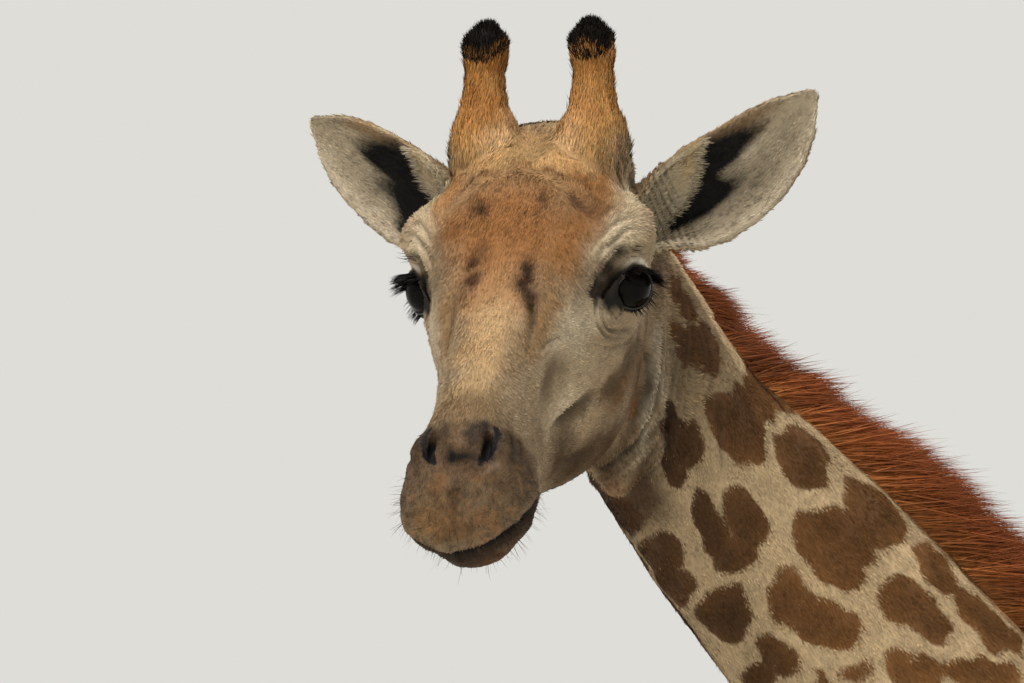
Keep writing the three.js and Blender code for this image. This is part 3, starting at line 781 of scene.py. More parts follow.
# Colours of the face's hair: colour, strength, middle and half sizes in the head's millimetres. Both sides
# have them unless the row ends with the one side that does, where 1 is the left.
FACE_TINTS = [
    ("#9c7a52", 1.0, (0, 96, 120), (62, 50, 44), 1),
    ("#8a6c47", 1.0, (0, 40, 150), (110, 60, 50), 1),
    ("#b08a5c", 1.0, (44, 52, 134), (26, 34, 34)),
    ("#96794f", 0.9, (0, 58, 148), (26, 34, 26), 1),
    ("#7c542c", 0.9, (92, 40, 98), (18, 40, 26), 1),
    ("#7d542c", 0.9, (72, 30, 120), (22, 26, 24), 1),
    ("#a0703f", 0.8, (-88, 34, 100), (20, 40, 30), 1),
    ("#b3a486", 0.9, (112, 66, 84), (16, 50, 30)),
    ("#b8ab92", 0.9, (112, 62, 36), (22, 34, 34)),
    # Painted shadow under each ear's root.
    ("#46362a", 1.0, (95, 162, -72), (24, 46, 30)),
    ("#5a4733", 0.9, (102, 106, -98), (16, 44, 34)),
    ("#82542a", 1.0, (0, -62, 108), (78, 66, 46), 1),
    ("#8f6137", 0.9, (0, -32, 124), (58, 38, 36), 1),
    ("#946a42", 0.6, (52, -66, 98), (16, 16, 16), 1),
    ("#7b5330", 0.9, (84, -20, 104), (28, 36, 24), 1),
    ("#84592f", 0.9, (68, -60, 92), (24, 42, 26), 1),
    ("#8c6038", 0.9, (-64, -36, 102), (22, 40, 26), 1),
    ("#9a6f44", 0.8, (0, -130, 80), (44, 56, 30), 1),
    ("#ad8d66", 1.0, (4, -205, 56), (30, 60, 26), 1),
    ("#b5956d", 0.7, (10, -190, 58), (12, 70, 20), 1),
    ("#a68a63", 0.9, (0, -280, 34), (26, 40, 26), 1),
    ("#8c6a44", 0.8, (56, -150, 50), (14, 60, 26)),
    ("#ac9d86", 0.9, (74, -128, 20), (20, 60, 26)),
    ("#bfae92", 0.9, (112, -22, 68), (22, 40, 18)),
    ("#b3a287", 0.8, (96, -78, 30), (18, 22, 24)),
    ("#a8967a", 0.9, (66, -160, -20), (24, 70, 34)),
    ("#b9a78b", 0.8, (66, -165, -42), (12, 56, 9)),
    # Painted shade in the hollow above the facial crest.
    ("#6a563f", 0.9, (62, -182, -6), (14, 34, 16)),
    ("#55452f", 0.6, (70, -138, -60), (16, 44, 6)),
    ("#4c3a26", 0.9, (100, 2, -74), (18, 30, 20)),
    ("#503a21", 1.0, (86, 24, -126), (30, 54, 58)),
    ("#5c4226", 1.0, (94, -52, -84), (24, 42, 26)),
    ("#63503a", 0.8, (70, -140, -60), (16, 38, 8)),
    ("#584733", 1.0, (60, -182, -76), (16, 26, 20)),
    ("#422e19", 1.0, (60, -136, -130), (36, 74, 27)),
    ("#432f1b", 1.0, (72, -70, -150), (24, 44, 30)),
    ("#42301c", 0.9, (30, -120, -176), (50, 130, 30)),
    ("#3f2d19", 1.0, (56, -190, -100), (26, 44, 19)),
    ("#957f62", 1.0, (75, -120, -92), (20, 34, 16)),
    ("#7f6a55", 0.8, (54, -228, -100), (16, 28, 14)),
    ("#5a4026", 0.9, (50, 24, -246), (36, 32, 34)),
    ("#4d3a24", 0.9, (90, -72, -74), (15, 36, 13)),
    ("#4a3924", 0.9, (99, -36, -66), (13, 20, 15)),
    ("#6c5942", 0.7, (54, -236, -40), (14, 30, 34)),
    ("#6b3f1e", 0.7, (80, 30, -165), (14, 12, 34)),
    ("#5f442a", 1.0, (0, -336, -24), (84, 46, 60), 1),
    ("#46331f", 0.9, (62, -302, -12), (18, 36, 36)),
    ("#6b553b", 0.8, (18, -288, 34), (22, 22, 20)),
    ("#33271a", 0.85, (18, -328, 15), (8, 14, 8)),
    ("#7d5733", 0.9, (0, -388, -50), (40, 22, 20), 1),
    ("#94734c", 0.8, (-38, -384, -55), (26, 24, 24), 1),
    ("#715638", 0.7, (48, -374, -50), (18, 24, 16), 1),
    ("#8f5f33", 0.7, (-20, -364, -16), (10, 10, 14), 1),
    ("#8f5f33", 0.7, (17, -364, -13), (9, 10, 10), 1),
    ("#47301a", 0.7, (-2, -374, -26), (10, 14, 14), 1),
    ("#412d1a", 0.7, (28, -364, -26), (12, 12, 12), 1),
    ("#4d3f2f", 0.7, (56, -340, -40), (14, 34, 24)),
    ("#8b7763", 0.6, (52, -366, -58), (14, 16, 10)),
    ("#3b2c1d", 0.9, (44, -324, 4), (20, 24, 16)),
    ("#2b2018", 0.75, (18, -317, 21), (8, 9, 8)),
    ("#a08672", 0.7, (30, -357, -5), (6, 6, 5)),
    ("#8f7358", 0.6, (6, -334, 14), (7, 14, 8), 1),
    ("#0c0a08", 1.2, (0, -343, 3), (18, 12, 8), 1),
    ("#3a2615", 0.85, (-39, -20, 116), (9, 8, 8), 1),
    ("#2f1f12", 0.7, (35, -13, 122), (6, 5, 6), 1),
    ("#5a4128", 0.8, (40, 40, -236), (60, 26, 36)),
]

# Streaks of the face's hair: colour, strength, width and a line in the head's millimetres, and the one side
# that has them if it isn't both.
FACE_STREAKS = [
    ("#4a2b14", 1.0, 4.5, [(-80, -4, 99), (-65, 15, 115), (-37, 22, 132), (3, 22, 139), (40, 25, 132),
        (66, 20, 116), (89, 1, 97)], 1),
    ("#3a2212", 0.75, 6, [(57, 5, 118), (70, -3, 107), (84, -9, 96)], 1),
    ("#33200f", 1.2, 11, [(27, -84, 90), (32, -112, 78), (37, -136, 68), (40, -150, 60)], 1),
    ("#452a15", 1.2, 10, [(-25, -66, 96), (-26, -96, 86), (-29, -132, 71)], 1),
    # Painted shade along each nostril's slit, near-black for the opening's depth.
    ("#070504", 1.1, 3.6, [(36, -314, 14), (40, -322, 12), (36, -340, 8), (31, -348, 4), (25, -354, -1)]),
    ("#221812", 0.9, 7, [(22, -306, 26), (22, -318, 20), (26, -332, 14)]),
    ("#150e09", 1.0, 3.6, [(-62, -364, -67), (-47, -381, -84), (-24, -389, -90), (0, -396, -86),
        (22, -396, -81), (44, -387, -73), (60, -378, -64), (70, -352, -62), (72, -310, -66),
        (66, -262, -76)], 1),
    ("#7a5e3c", 0.6, 6, [(46, -120, 70), (47, -160, 50), (46, -200, 36)]),
    ("#a89a86", 1.0, 9, [(97, 112, -105), (99, 94, -124), (100, 78, -142), (97, 62, -166), (89, 42, -193),
        (75, 26, -217), (54, 21, -241)]),
    ("#3a2110", 0.5, 5, [(86, 60, -140), (80, 46, -160), (72, 33, -182), (58, 24, -203)]),
    ("#20140b", 1.0, 7, [(68, 25, -205), (47, 23, -221), (31, 26, -232)]),
    ("#6d4526", 0.9, 9, [(75, 20, -232), (50, 22, -250), (28, 33, -268)]),
    ("#b0a28a", 0.7, 4.5, [(66, -158, -30), (64, -175, -36), (58, -205, -40), (56, -222, -50)]),
]

# The line of the black corner in front of the left eye and that of the painted shadow under its brow, and the
# lower lip's edge from right to left as pairs of x and z, all in the head's millimetres.
EYE_CORNER = [(107, -34, 22), (98, -54, 32), (90, -69, 36)]
BROW_SHADOW = [(89, -76, 38), (98, -52, 48), (110, -32, 54), (126, -12, 53)]
LIP_EDGE = [(-62, -72), (-47, -85), (-25, -91), (0, -87), (22, -82), (43, -74), (59, -66), (70, -60)]

# Patches of the neck's left side. Each is one or more lobes: how far down the neck in mm, how far round it in
# degrees, half length, half width, and by how many degrees the long axis turns round the neck.
NECK_PATCHES = [
    [(250, -98, 37, 32, 0), (226, -113, 34, 14, -10), (190, -90, 36, 17, 0)],
    [(286, -143, 28, 13, 0), (318, -137, 25, 27, 0), (338, -151, 28, 15, 0)],
    [(352, -26, 46, 46, -10), (348, -60, 34, 34, 0), (345, -93, 58, 38, 12)],
    [(442, -54, 50, 44, -30)],
    [(416, -147, 54, 19, -22), (438, -122, 42, 26, -12), (458, -143, 34, 22, 40)],
    [(522, -80, 52, 48, 0), (536, -34, 48, 50, 0), (558, -86, 30, 24, 0)],
    [(405, -176, 32, 26, 0), (447, -180, 30, 24, -20)],
    [(504, -163, 34, 32, 0)],
    [(535, -128, 30, 26, -25), (580, -119, 42, 25, 25)],
    [(628, -67, 30, 34, -30), (656, -61, 37, 22, 30)],
    [(626, -25, 34, 32, 0), (710, -23, 58, 28, 10)],
    [(584, -152, 34, 20, 0), (586, -172, 20, 36, 0)],
    [(646, -120, 18, 12, 40)],
    [(688, -88, 40, 20, 45), (744, -54, 60, 24, 40)],
]

# Each ear's middle line in the head's millimetres, and rows of share of its length, half the arc across it
# and the angle that half arc turns through.
EAR_LINES = {
    1: [(80, 108, 16), (130, 128, 31), (210, 155, 62), (290, 184, 130)],
    -1: [(-80, 108, 18), (-136, 128, 44), (-206, 155, 78), (-271, 184, 115)],
}
EAR = [(0, 78, 2.4), (0.12, 74, 2.15), (0.22, 76, 1.7), (0.32, 76, 1.4), (0.46, 68, 1.15)]
EAR += [(0.6, 59, 0.95), (0.76, 46, 0.8), (0.9, 26, 0.6), (1, 6, 0.3)]

# The black band in each ear's hollow: places across the ear, and the shares of its length where it starts
# and ends there.
EAR_BAND = {
    1: (
        (-0.5, -0.31, -0.23, -0.14, -0.02, 0.12, 0.23, 0.39, 0.62, 0.91, 1.1),
        (0.16, 0.17, 0.22, 0.27, 0.31, 0.34, 0.36, 0.4, 0.42, 0.46, 0.55),
        (0.28, 0.47, 0.52, 0.54, 0.52, 0.54, 0.66, 0.74, 0.7, 0.62, 0.58),
    ),
    -1: (
        (-0.78, -0.58, -0.48, -0.35, -0.12, -0.01, 0.08, 0.24, 0.53, 1.1),
        (0.12, 0.12, 0.13, 0.17, 0.26, 0.33, 0.37, 0.41, 0.42, 0.46),
        (0.41, 0.46, 0.5, 0.57, 0.58, 0.68, 0.74, 0.72, 0.66, 0.5),
    ),
}


def ear_place(points, side):
    """On one ear: the share of its length, from -1 at its low edge to 1 across it, 1 inside, and its way."""
    line = curve(EAR_LINES[side], 60)
    step = np.empty(len(points), int)
    for start in range(0, len(points), BLOCK):
        block = points[start : start + BLOCK]
        step[start : start + BLOCK] = ((block[:, None] - line) ** 2).sum(2).argmin(1)
    along = unit(np.gradient(line, axis=0))
    facing = np.array([0, -1, 0.12]) - (along @ (0, -1, 0.12))[:, None] * along
    facing = unit(facing)
    across = np.cross(along, facing)
    rows = np.array(EAR)
    places = np.linspace(0, 1, 60)
    angle = np.interp(places, rows[:, 0], rows[:, 2])
    radius = np.interp(places, rows[:, 0], rows[:, 1]) / angle
    centre = line + facing * (radius * np.sin(angle) / angle)[:, None]
    out = points - centre[step]
    sideways, inward = (out * across[step]).sum(1), -(out * facing[step]).sum(1)
    over = np.arctan2(sideways, inward) / angle[step] * -side
    inner = ease(radius[step] - np.hypot(sideways, inward), -1.5, 1.5)
    return places[step], np.clip(over, -1.3, 1.3), inner, along[step]


def eye_colours(colours, points, shaken, side):
    """The face's colours with one eye's black corner, pale upper lid, dark edges and the painted shadow under
    its brow.
    """
    away, edge, lean, ahead = eye_angles(points, side)
    reach = from_eye(points, side)
    beyond = 30 * ease(reach, 32, 44)
    past = away - edge + beyond + 200 * (reach >= 60)
    tear = ease(ahead, 0.55, 0.8) * (1 - ease(past - beyond, 16, 34)) * (1 - ease(reach, 46, 56))
    pale = ease(past, 9, 13) * (1 - ease(past, 20, 30)) * ease(lean, 0.25, 0.6)
    corner, share = line_distance(shaken, mirrored(EYE_CORNER, side))
    brow, along = line_distance(shaken, mirrored(BROW_SHADOW, side))
    return layered(
        colours,
        ("#0f0c09", tear * ease(lean, -0.4, -0.1)),
        ("#d9cfc0", 0.85 * (pale * (1 - ease(ahead, 0.0, 0.5)))),
        ("#0d0b09", 1 - ease(past, 7, 11 + 3 * (lean > 0))),
        ("#0f0c09", 1.4 * bell(corner, 17 - 10 * share)),
        # Painted shadow under the brow: brown over the upper part of the black corner, and a dark line along
        # the brow.
        ("#3a2b1d", 0.7 * bell(corner, 22) * ease(shaken[:, 2], 26, 44)),
        ("#231910", 1.1 * bell(brow, 7) * ease(1 - along, -0.1, 0.25)),
    )


# How high over the eyes in mm the horns' black tops start.
HORN_BLACK = 184


def horn_colours(points):
    """The horns' colours: pale inside at the root, brown up the shaft and black at the top."""
    height = points[:, 2] - 0.1 * points[:, 1] + 4 * wander(points, 14, 33)
    pale = ease(58 - np.abs(points[:, 0]), -8, 8) * (1 - ease(height, 120, 165))
    # The left horn's black top starts higher on its outer face.
    spared = 12 * bell(points[:, 0] - 60, 9)
    shaft = layered(
        painted("#a8804f", len(points)),
        ("#b8946a", pale),
        ("#94622f", ease(height, 118, 156) * (0.75 + 0.25 * wander(points, 20, 34))),
        ("#0f0c0a", ease(height - spared, HORN_BLACK, HORN_BLACK + 8)),
    )
    return shaft, ease(height, 96, 130)


def ear_colours(points, side):
    """One ear's colours, and how surely each point is past its root."""
    share, over, inner, _ = ear_place(points, side)
    blot = 0.1 * wander(points, 22, 35)
    places, starts, ends = EAR_BAND[side]
    near, far = np.interp(over, places, starts), np.interp(over, places, ends)
    band = ease(share, near - 0.015, near + 0.01) * (1 - ease(share + 0.4 * blot, far - 0.13, far + 0.05))
    band = band * ease(over, places[0] - 0.1, places[0] + 0.04)
    band = band * (1 - ease(over, 0.84, 0.97) * ease(share, 0.52, 0.62))
    # brown: painted shade under the rolled upper rim, in the ear's upper part.
    brown = ease(over, 0.5, 0.75) * ease(share, 0.42, 0.55) * (1 - ease(share, 0.75, 0.95))
    edge = 0.8 * ease(share, near, near + 0.05) * (1 - ease(share, far, far + 0.12)) * ease(over, 0.1, 0.4)
    rolled = 1 - ease(share, near - 0.03, near)
    hollow = layered(
        painted("#a3957e", len(points)),
        ("#b5a790", ease(-over, 0.45, 0.9)),
        ("#857866", 0.7 * bell(over + 0.35, 0.3) * bell(share - 0.55, 0.15)),
        ("#bdb09b", 0.7 * bell(over - 0.16, 0.12) * bell(share - 0.62, 0.07)),
        ("#4b4135", 0.5 * (ease(wander(points, 5, 37), 0.55, 0.8) * ease(-over, -0.3, 0.3))),
        ("#836c52", brown),
        ("#5d4b39", edge),
        ("#b0a28a", rolled),
        ("#b09a76", rolled * bell(share - near + 0.06, 0.04) * ease(over, 0, 0.4)),
        ("#090806", 1.15 * band),
    )
    worn = ease(wander(points, 30, 36) + 0.5 * ease(share, 0.3, 0.7), 0.1, 0.7)
    back = blend(painted("#a8987c", len(points)), "#8a7050", 0.8 * worn)
    return back * (1 - inner[:, None]) + hollow * inner[:, None], ease(share, 0.0, 0.06)


def face_colours(points, label, hollow, bare):
    """The ground colour of the head's hair and bare skin, from tints laid over each other, with painted shade
    in the folds and the nostrils.
    """
    colours = painted("#8e7b62", len(points))
    shaken = points + 6 * drift(points, 24, 21)
    shaken = shaken + 2.5 * drift(points, 8, 24)
    for shade, strength, centre, sizes, *one_side in FACE_TINTS:
        for side in one_side or BOTH_SIDES:
            gap = (shaken - mirrored(centre, side)) / np.array(sizes)
            colours = blend(colours, shade, strength * np.exp(-((gap**2).sum(1) ** 1.5) * 0.8))
    for shade, strength, width, line, *one_side in FACE_STREAKS:
        for side in one_side or BOTH_SIDES:
            gap, share = line_distance(shaken, curve(mirrored(line, side), 20))
            ends = ease(share, -0.15, 0.2) * (1 - ease(share, 0.8, 1.15))
            colours = blend(colours, shade, strength * bell(gap, width) * ends)
    speck = ease(wander(points, 4.2, 31), 0.62, 0.9) * ease(points[:, 2], 85, 120)
    colours = blend(colours, "#3a2818", 0.6 * speck)
    muzzle = ease(-points[:, 1], 290, 330)
    blotched = ease(wander(points, 3.6, 32) + 0.5 * wander(points, 9, 30), 0.0, 0.8)
    warm = ease(wander(points, 5.4, 29), 0.2, 0.8)
    colours = layered(
        colours * (1 - 0.28 * muzzle[:, None]),
        ("#2a1b10", 0.4 * muzzle * blotched),
        ("#94683e", 0.25 * muzzle * warm * ease(-points[:, 2], 8, 30)),
    )
    for side in BOTH_SIDES:
        colours = eye_colours(colours, points, shaken, side)
    lip = np.interp(points[:, 0], *zip(*LIP_EDGE))
    below = ease(lip - points[:, 2], -4, 4) * ease(-points[:, 1], 296, 336)
    warm = below * ease(lip - points[:, 2], 10, 22) * (0.55 + 0.45 * wander(points, 6, 38))
    colours = layered(
        colours,
        ("#2b1b0e", 0.97 * below),
        ("#4b311c", 0.8 * warm),
        ("#6e4c2b", 0.7 * warm * bell(points[:, 0] - 50, 22)),
    )
    shaft, raised = horn_colours(points)
    mix = raised[:, None] * among(label, HORNS)[:, None]
    colours = colours * (1 - mix) + shaft * mix
    for side, node in zip(BOTH_SIDES, EARS):
        mine = places_on(label, node)
        whole, root = ear_colours(points[mine], side)
        root = root[:, None]
        colours[mine] = colours[mine] * (1 - root) + whole * root
    # Painted shade in the folds, and the muzzle's bare skin near-black: the lips' edges, and the nostrils as
    # painted shade for the openings' depth.
    nostril = bare * ease(-points[:, 1], 280, 300)
    return layered(colours, ("#1a120b", 0.9 * np.clip(hollow, 0, 1)), ("#060404", nostril))


# Height of a leg's patches over the ground and their half size, in metres, and how far down the neck the
# placed patches reach in mm, by degrees from the nape.
LEG_PATCHES = [(0.1, 0.016), (0.5, 0.022), (0.95, 0.034), (1.5, 0.055), (1.9, 0.085)]
PLACED_TO = [(0, 780), (50, 780), (90, 735), (120, 685), (155, 630), (180, 620)]
# Half size of the trunk's patches, how many places are tried and how close two patches may stand.
TRUNK_PATCH, PATCH_TRIES, PATCH_GAP = 0.098, 14000, 0.86
# The side of the blocks in which points are compared with the patches near them, and how near those are.
PATCH_BLOCK, PATCH_NEAR = 0.14, 0.48


def patch_seeds(points, label):
    """The dark patches' lobes: middle, long direction, half length and width, reach and patch number each.

    The placed ones come first, then others thrown over the rest of the body, none too near another.
    """
    seeds = []
    for number, lobes in enumerate(NECK_PATCHES):
        for down, degrees, long, wide, turn in lobes:
            at, along = from_neck(down, degrees, 110)
            out = unit(at - from_neck(down, degrees, 0)[0])
            at = points[((points - at) ** 2).sum(1).argmin()]
            around = np.cross(out, along)
            t = math.radians(turn)
            way = along * math.cos(t) + around * math.sin(t)
            seeds.append((*at, *way, long * MM, wide * MM, 1.0, number))
    random = np.random.default_rng(5)
    down, degrees = to_neck(points)
    is_neck = among(label, NECK_NODES)
    size = np.where(is_neck, 0.034 + 0.056 * ease(down, 200, 1300), TRUNK_PATCH)
    size = np.where(among(label, LEGS), np.interp(points[:, 2], *zip(*LEG_PATCHES)), size)
    # Only the neck's left side has placed patches.
    placed = is_neck & ((degrees < 4) | (degrees > 172))
    placed &= down < np.interp(np.abs(degrees), *zip(*PLACED_TO))
    free = among(label, NECK_NODES + TRUNK + LEGS) & ~placed & (down > 300)
    pick = random.permutation(np.flatnonzero(free))[:PATCH_TRIES]
    taken = np.array([s[:3] for s in seeds])
    sizes = np.array([max(s[6], s[7]) for s in seeds])
    for i in pick:
        gap = lengths(taken - points[i])
        if (gap < (size[i] + sizes) * PATCH_GAP).any():
            continue
        along = np.array([0, 0.25, -1.0]) if not is_neck[i] else from_neck(down[i], 0, 0)[1]
        stretch = random.uniform(0.85, 1.25)
        halves = size[i] * stretch, size[i] / stretch
        seeds.append((*points[i], *unit(along), *halves, 1.5, len(seeds) + 100))
        taken = np.vstack([taken, points[i]])
        sizes = np.append(sizes, size[i])
    return np.array(seeds)


def markings(points, label):
    """How far inside its patch each point lies in mm, below 0 on the light lines, and its patch's tone."""
    seeds = patch_seeds(points, label)
    tones = np.random.default_rng(8).uniform(0, 1, int(seeds[:, 9].max()) + 1)
    sway = drift(points, 0.06, 41)
    jag = drift(points, 0.019, 44)
    coarse = ease(lengths(points - HEAD_AT), 0.5, 1.6)[:, None]
    moved = points + (0.007 + 0.014 * coarse) * sway + (0.0045 + 0.003 * coarse) * jag
    inside = np.full(len(points), -60.0)
    tone = np.zeros(len(points))
    cells = np.floor(points / PATCH_BLOCK).astype(int)
    keys = (cells + 64) @ np.array([1 << 20, 1 << 10, 1])
    order = keys.argsort(kind="stable")
    for group in np.split(order, np.flatnonzero(np.diff(keys[order])) + 1):
        p = moved[group]
        near = seeds[lengths(seeds[:, :3] - p.mean(0)) < PATCH_NEAR]
        if len(near) < 2:
            continue
        out = p[:, None] - near[:, :3]
        along = (out * near[:, 3:6]).sum(2)
        across = np.sqrt(np.maximum((out**2).sum(2) - along**2, 0))
        far = np.hypot(along / near[:, 6], across / near[:, 7])
        mine = far.argmin(1)
        first = far.min(1)
        other = np.where(near[:, 9] == near[mine, 9][:, None], 9.0, far).min(1)
        size = np.sqrt(near[mine, 6] * near[mine, 7]) / MM
        edge = (other - first) * 0.5 * size - np.clip(size * 0.19, 4.5, 12.5)
        inside[group] = np.minimum(edge, (near[mine, 8] - first) * size)
        tone[group] = tones[near[mine, 9].astype(int)]
    return inside, tone


def lie_of(points, normals, label):
    """The direction in which the hair lies at each point, in row frame axes, before it is smoothed."""
    head = to_head(points)
    face_normals = normals @ HEAD_AXES.T
    x, y, z = head.T
    side = np.sign(x)
    around = np.clip((np.abs(face_normals[:, 0]) * 1.1 - face_normals[:, 2] * 0.5 + 0.25), 0, 1.25)
    turn = np.radians(150) * around / 1.25
    lie = np.stack([0.25 * side * np.sin(turn), -np.cos(turn), -np.sin(turn)], axis=1)
    lie[y > -20] += np.stack(
        [0 * x, 0.9 + 0 * x, -0.5 + 0 * x], axis=1
    )[y > -20] * ease(y, -20, 60)[y > -20, None]
    above = ease(y - (20 - 0.0052 * x**2), -3, 5) * ease(z, 60, 90)
    crown = np.stack([x * 0.004, 0.35 + 0 * x, 0.9 + 0 * x], axis=1)
    lie = lie * (1 - above[:, None]) + crown * above[:, None]
    for s in BOTH_SIDES:
        centre, gaze, _, _ = eye_frame(s)
        out = head - centre
        reach = lengths(out)
        away = unit(out - (out @ gaze)[:, None] * gaze)
        pull = 1.6 * (1 - ease(reach, 30, 58))
        lie += away * pull[:, None]
    lie = lie @ HEAD_AXES
    for node in HORNS:
        mine = places_on(label, node)
        swirl = 0.25 * wander(head[mine], 30, 51)
        lie[mine] = (np.stack([swirl, 0.55 + 0 * swirl, 0.85 + 0 * swirl], axis=1)) @ HEAD_AXES
    for side, node in zip(BOTH_SIDES, EARS):
        mine = places_on(label, node)
        lie[mine] = ear_place(head[mine], side)[3] @ HEAD_AXES
    place = neck_place(to_neck(points)[0])
    neck = among(label, NECK_NODES)
    lie[neck] = NECK_ALONG[place[neck]] + 0.12 * np.array([0, 0, -1.0])
    body = among(label, TRUNK)
    lie[body] = np.array([0, 0.8, -0.55])
    legs = among(label, LEGS + ["tail"])
    lie[legs] = np.array([0, 0.12, -1.0])
    return lie


# What a user may change


def size(name, text, value, low=0.0, high=1.0):
    """A length property in metres."""
    return FloatProperty(
        name=name, description=text, default=value, min=low, max=high,
        unit="LENGTH", subtype="DISTANCE", precision=4
    )


def closeness(name, text, value):
    """A property that says how many tufts stand on a square centimetre."""
    return FloatProperty(name=name, description=text, default=value, min=0.1, max=80)


def tint(name, text, value):
    """A colour property from an sRGB hex value."""
    return FloatVectorProperty(
        name=name, description=text, default=linear(value), min=0, max=1, subtype="COLOR"
    )


class GiraffeSkin(bpy.types.PropertyGroup):
    """The skin's fineness and the colours of its markings."""

    face_grain: size("Face grain", "Size of the faces of the head's skin", 0.0027, 0.001, 0.02)
    neck_grain: size("Neck grain", "Size of the faces of the upper neck's skin", 0.0048, 0.001, 0.03)
    body_grain: size("Body grain", "Size of the faces of the rest of the skin", 0.012, 0.004, 0.05)
    eye_radius: size("Eye radius", "Radius of the eyeball", 0.0264, 0.01, 0.03)
    ground: tint("Ground", "Light coat between the patches", "#b59d7b")
    belly: tint("Belly", "Light coat under the body and down the legs", "#cdb997")
    patch: tint("Patch", "Dark patches", "#6a4726")
    patch_deep: tint("Deep patch", "The darkest patches", "#573a1f")


class GiraffeCoat(bpy.types.PropertyGroup):
    """Length and closeness of the short coat."""

    face_length: size("Face hair", "Length of the face's tufts", 0.0062, 0.002, 0.03)
    neck_length: size("Neck hair", "Length of the neck's tufts", 0.0065, 0.002, 0.04)
    body_length: size("Body hair", "Length of the body's tufts", 0.024, 0.005, 0.05)
    face_count: closeness("Face tufts", "Tufts on each square centimetre of the face", 34)
    neck_count: closeness("Neck tufts", "Tufts on each square centimetre of the upper neck", 34)
    body_count: closeness("Body tufts", "Tufts on each square centimetre of the body", 0.9)


class GiraffeHair(bpy.types.PropertyGroup):
    """The mane and the other long hair."""

    mane_strands: IntProperty(
        name="Mane locks", description="How many locks the mane has", default=58000, min=100, max=60000
    )
    mane_base: tint("Mane base", "The mane near the neck", "#985f30")
    mane_middle: tint("Mane middle", "The mane's middle", "#7f4421")
    mane_tip: tint("Mane tips", "The mane's tips", "#6a371c")
    black: tint("Black hair", "Horn tufts, lashes, whiskers and tail", "#15110e")
    fringe: tint("Ear fringe", "The pale hair at the ears' edge", "#c5b89e")


class GiraffeStage(bpy.types.PropertyGroup):
    """Floor, light and camera."""

    sky: tint("Sky", "The pale light all round", "#deddd8")
    floor: tint("Floor", "The floor's colour", "#d9d8d2")
    distance: size("Camera distance", "From the head to the camera", 12.0, 2.0, 100.0)
    view_width: size("View width", "Width of the view at the head", 1.0906, 0.2, 10.0)


GROUPS = {"skin": GiraffeSkin, "coat": GiraffeCoat, "hair": GiraffeHair, "stage": GiraffeStage}


def settings(group):
    """One of the scene's property groups."""
    return getattr(bpy.context.scene, "giraffe_" + group)


def colour(value):
    """A colour property's values as an array."""
    return np.array(value[:3])


# The skin


# How far down the neck in metres the fine and the middling zone of the skin end, and how far the nodes are
# grown under the fine zones and under the coarse one.
FINE_END, MIDDLING_END = 0.3, 0.9
FINE_GROWTH, COARSE_GROWTH = 0.0007, 0.0015


def skin_surface(sizes):
    """One closed surface over the flesh: fine on the head, coarser down the neck, coarsest on the body."""
    (near, along_near), (far, along_far) = (
        (NECK[int(end / NECK_STEP)], NECK_ALONG[int(end / NECK_STEP)]) for end in (FINE_END, MIDDLING_END)
    )
    fine = remeshed(FACE_NODES + ["eye_left", "eye_right", "neck_upper"], sizes.face_grain, FINE_GROWTH)
    fine = trimmed(*fine, near, along_near, False)
    neck = remeshed(SKULL + ["neck_upper", "neck_middle"], sizes.neck_grain, FINE_GROWTH)
    neck = trimmed(*neck, near + along_near * SEAM, along_near, True)
    neck = trimmed(*neck, far, along_far, False)
    body = remeshed(NECK_NODES + BODY_NODES, sizes.body_grain, COARSE_GROWTH)
    body = trimmed(*body, far + along_far * SEAM, along_far, True)
    surface = zipped(fine, neck, near, along_near)
    points, faces = zipped(surface, body, far, along_far)
    return points, faces, len(fine[0]) + len(neck[0])


def unrolled(points, label):
    """Where points lie on each part's own skin laid flat, in mm: along it and around it."""
    head = to_head(points)
    angle = np.arctan2(head[:, 0], head[:, 2] + 40)
    flat = np.stack([head[:, 1], angle * 95], axis=1)
    down, degrees = to_neck(points)
    neck = among(label, NECK_NODES)
    flat[neck] = np.stack([down, np.radians(degrees) * 130], axis=1)[neck]
    for side, node in zip(BOTH_SIDES, EARS):
        mine = places_on(label, node)
        if len(mine):
            share, over, inner, _ = ear_place(head[mine], side)
            flat[mine] = np.stack([share * 250, over * 70 + 160 * (inner > 0.5)], axis=1)
    for node in HORNS + BODY_NODES:
        mine = label == FLESH.index(node)
        if not mine.any():
            continue
        low, high = (np.array(c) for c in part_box(node))
        centre = (low + high) / 2
        axis, up = (1, 2) if "trunk" in node else (2, 1)
        out = (points[mine] - centre) / MM
        if "trunk" in node:
            out[:, 2] = (points[mine, 2] - 2.1) / MM
        turn = np.arctan2(out[:, 0], out[:, up])
        wide = 330 if "trunk" in node else 40 if "ossi" in node or node == "tail" else 90
        flat[mine] = np.stack([points[mine, axis] / MM, turn * wide], axis=1)
    return flat


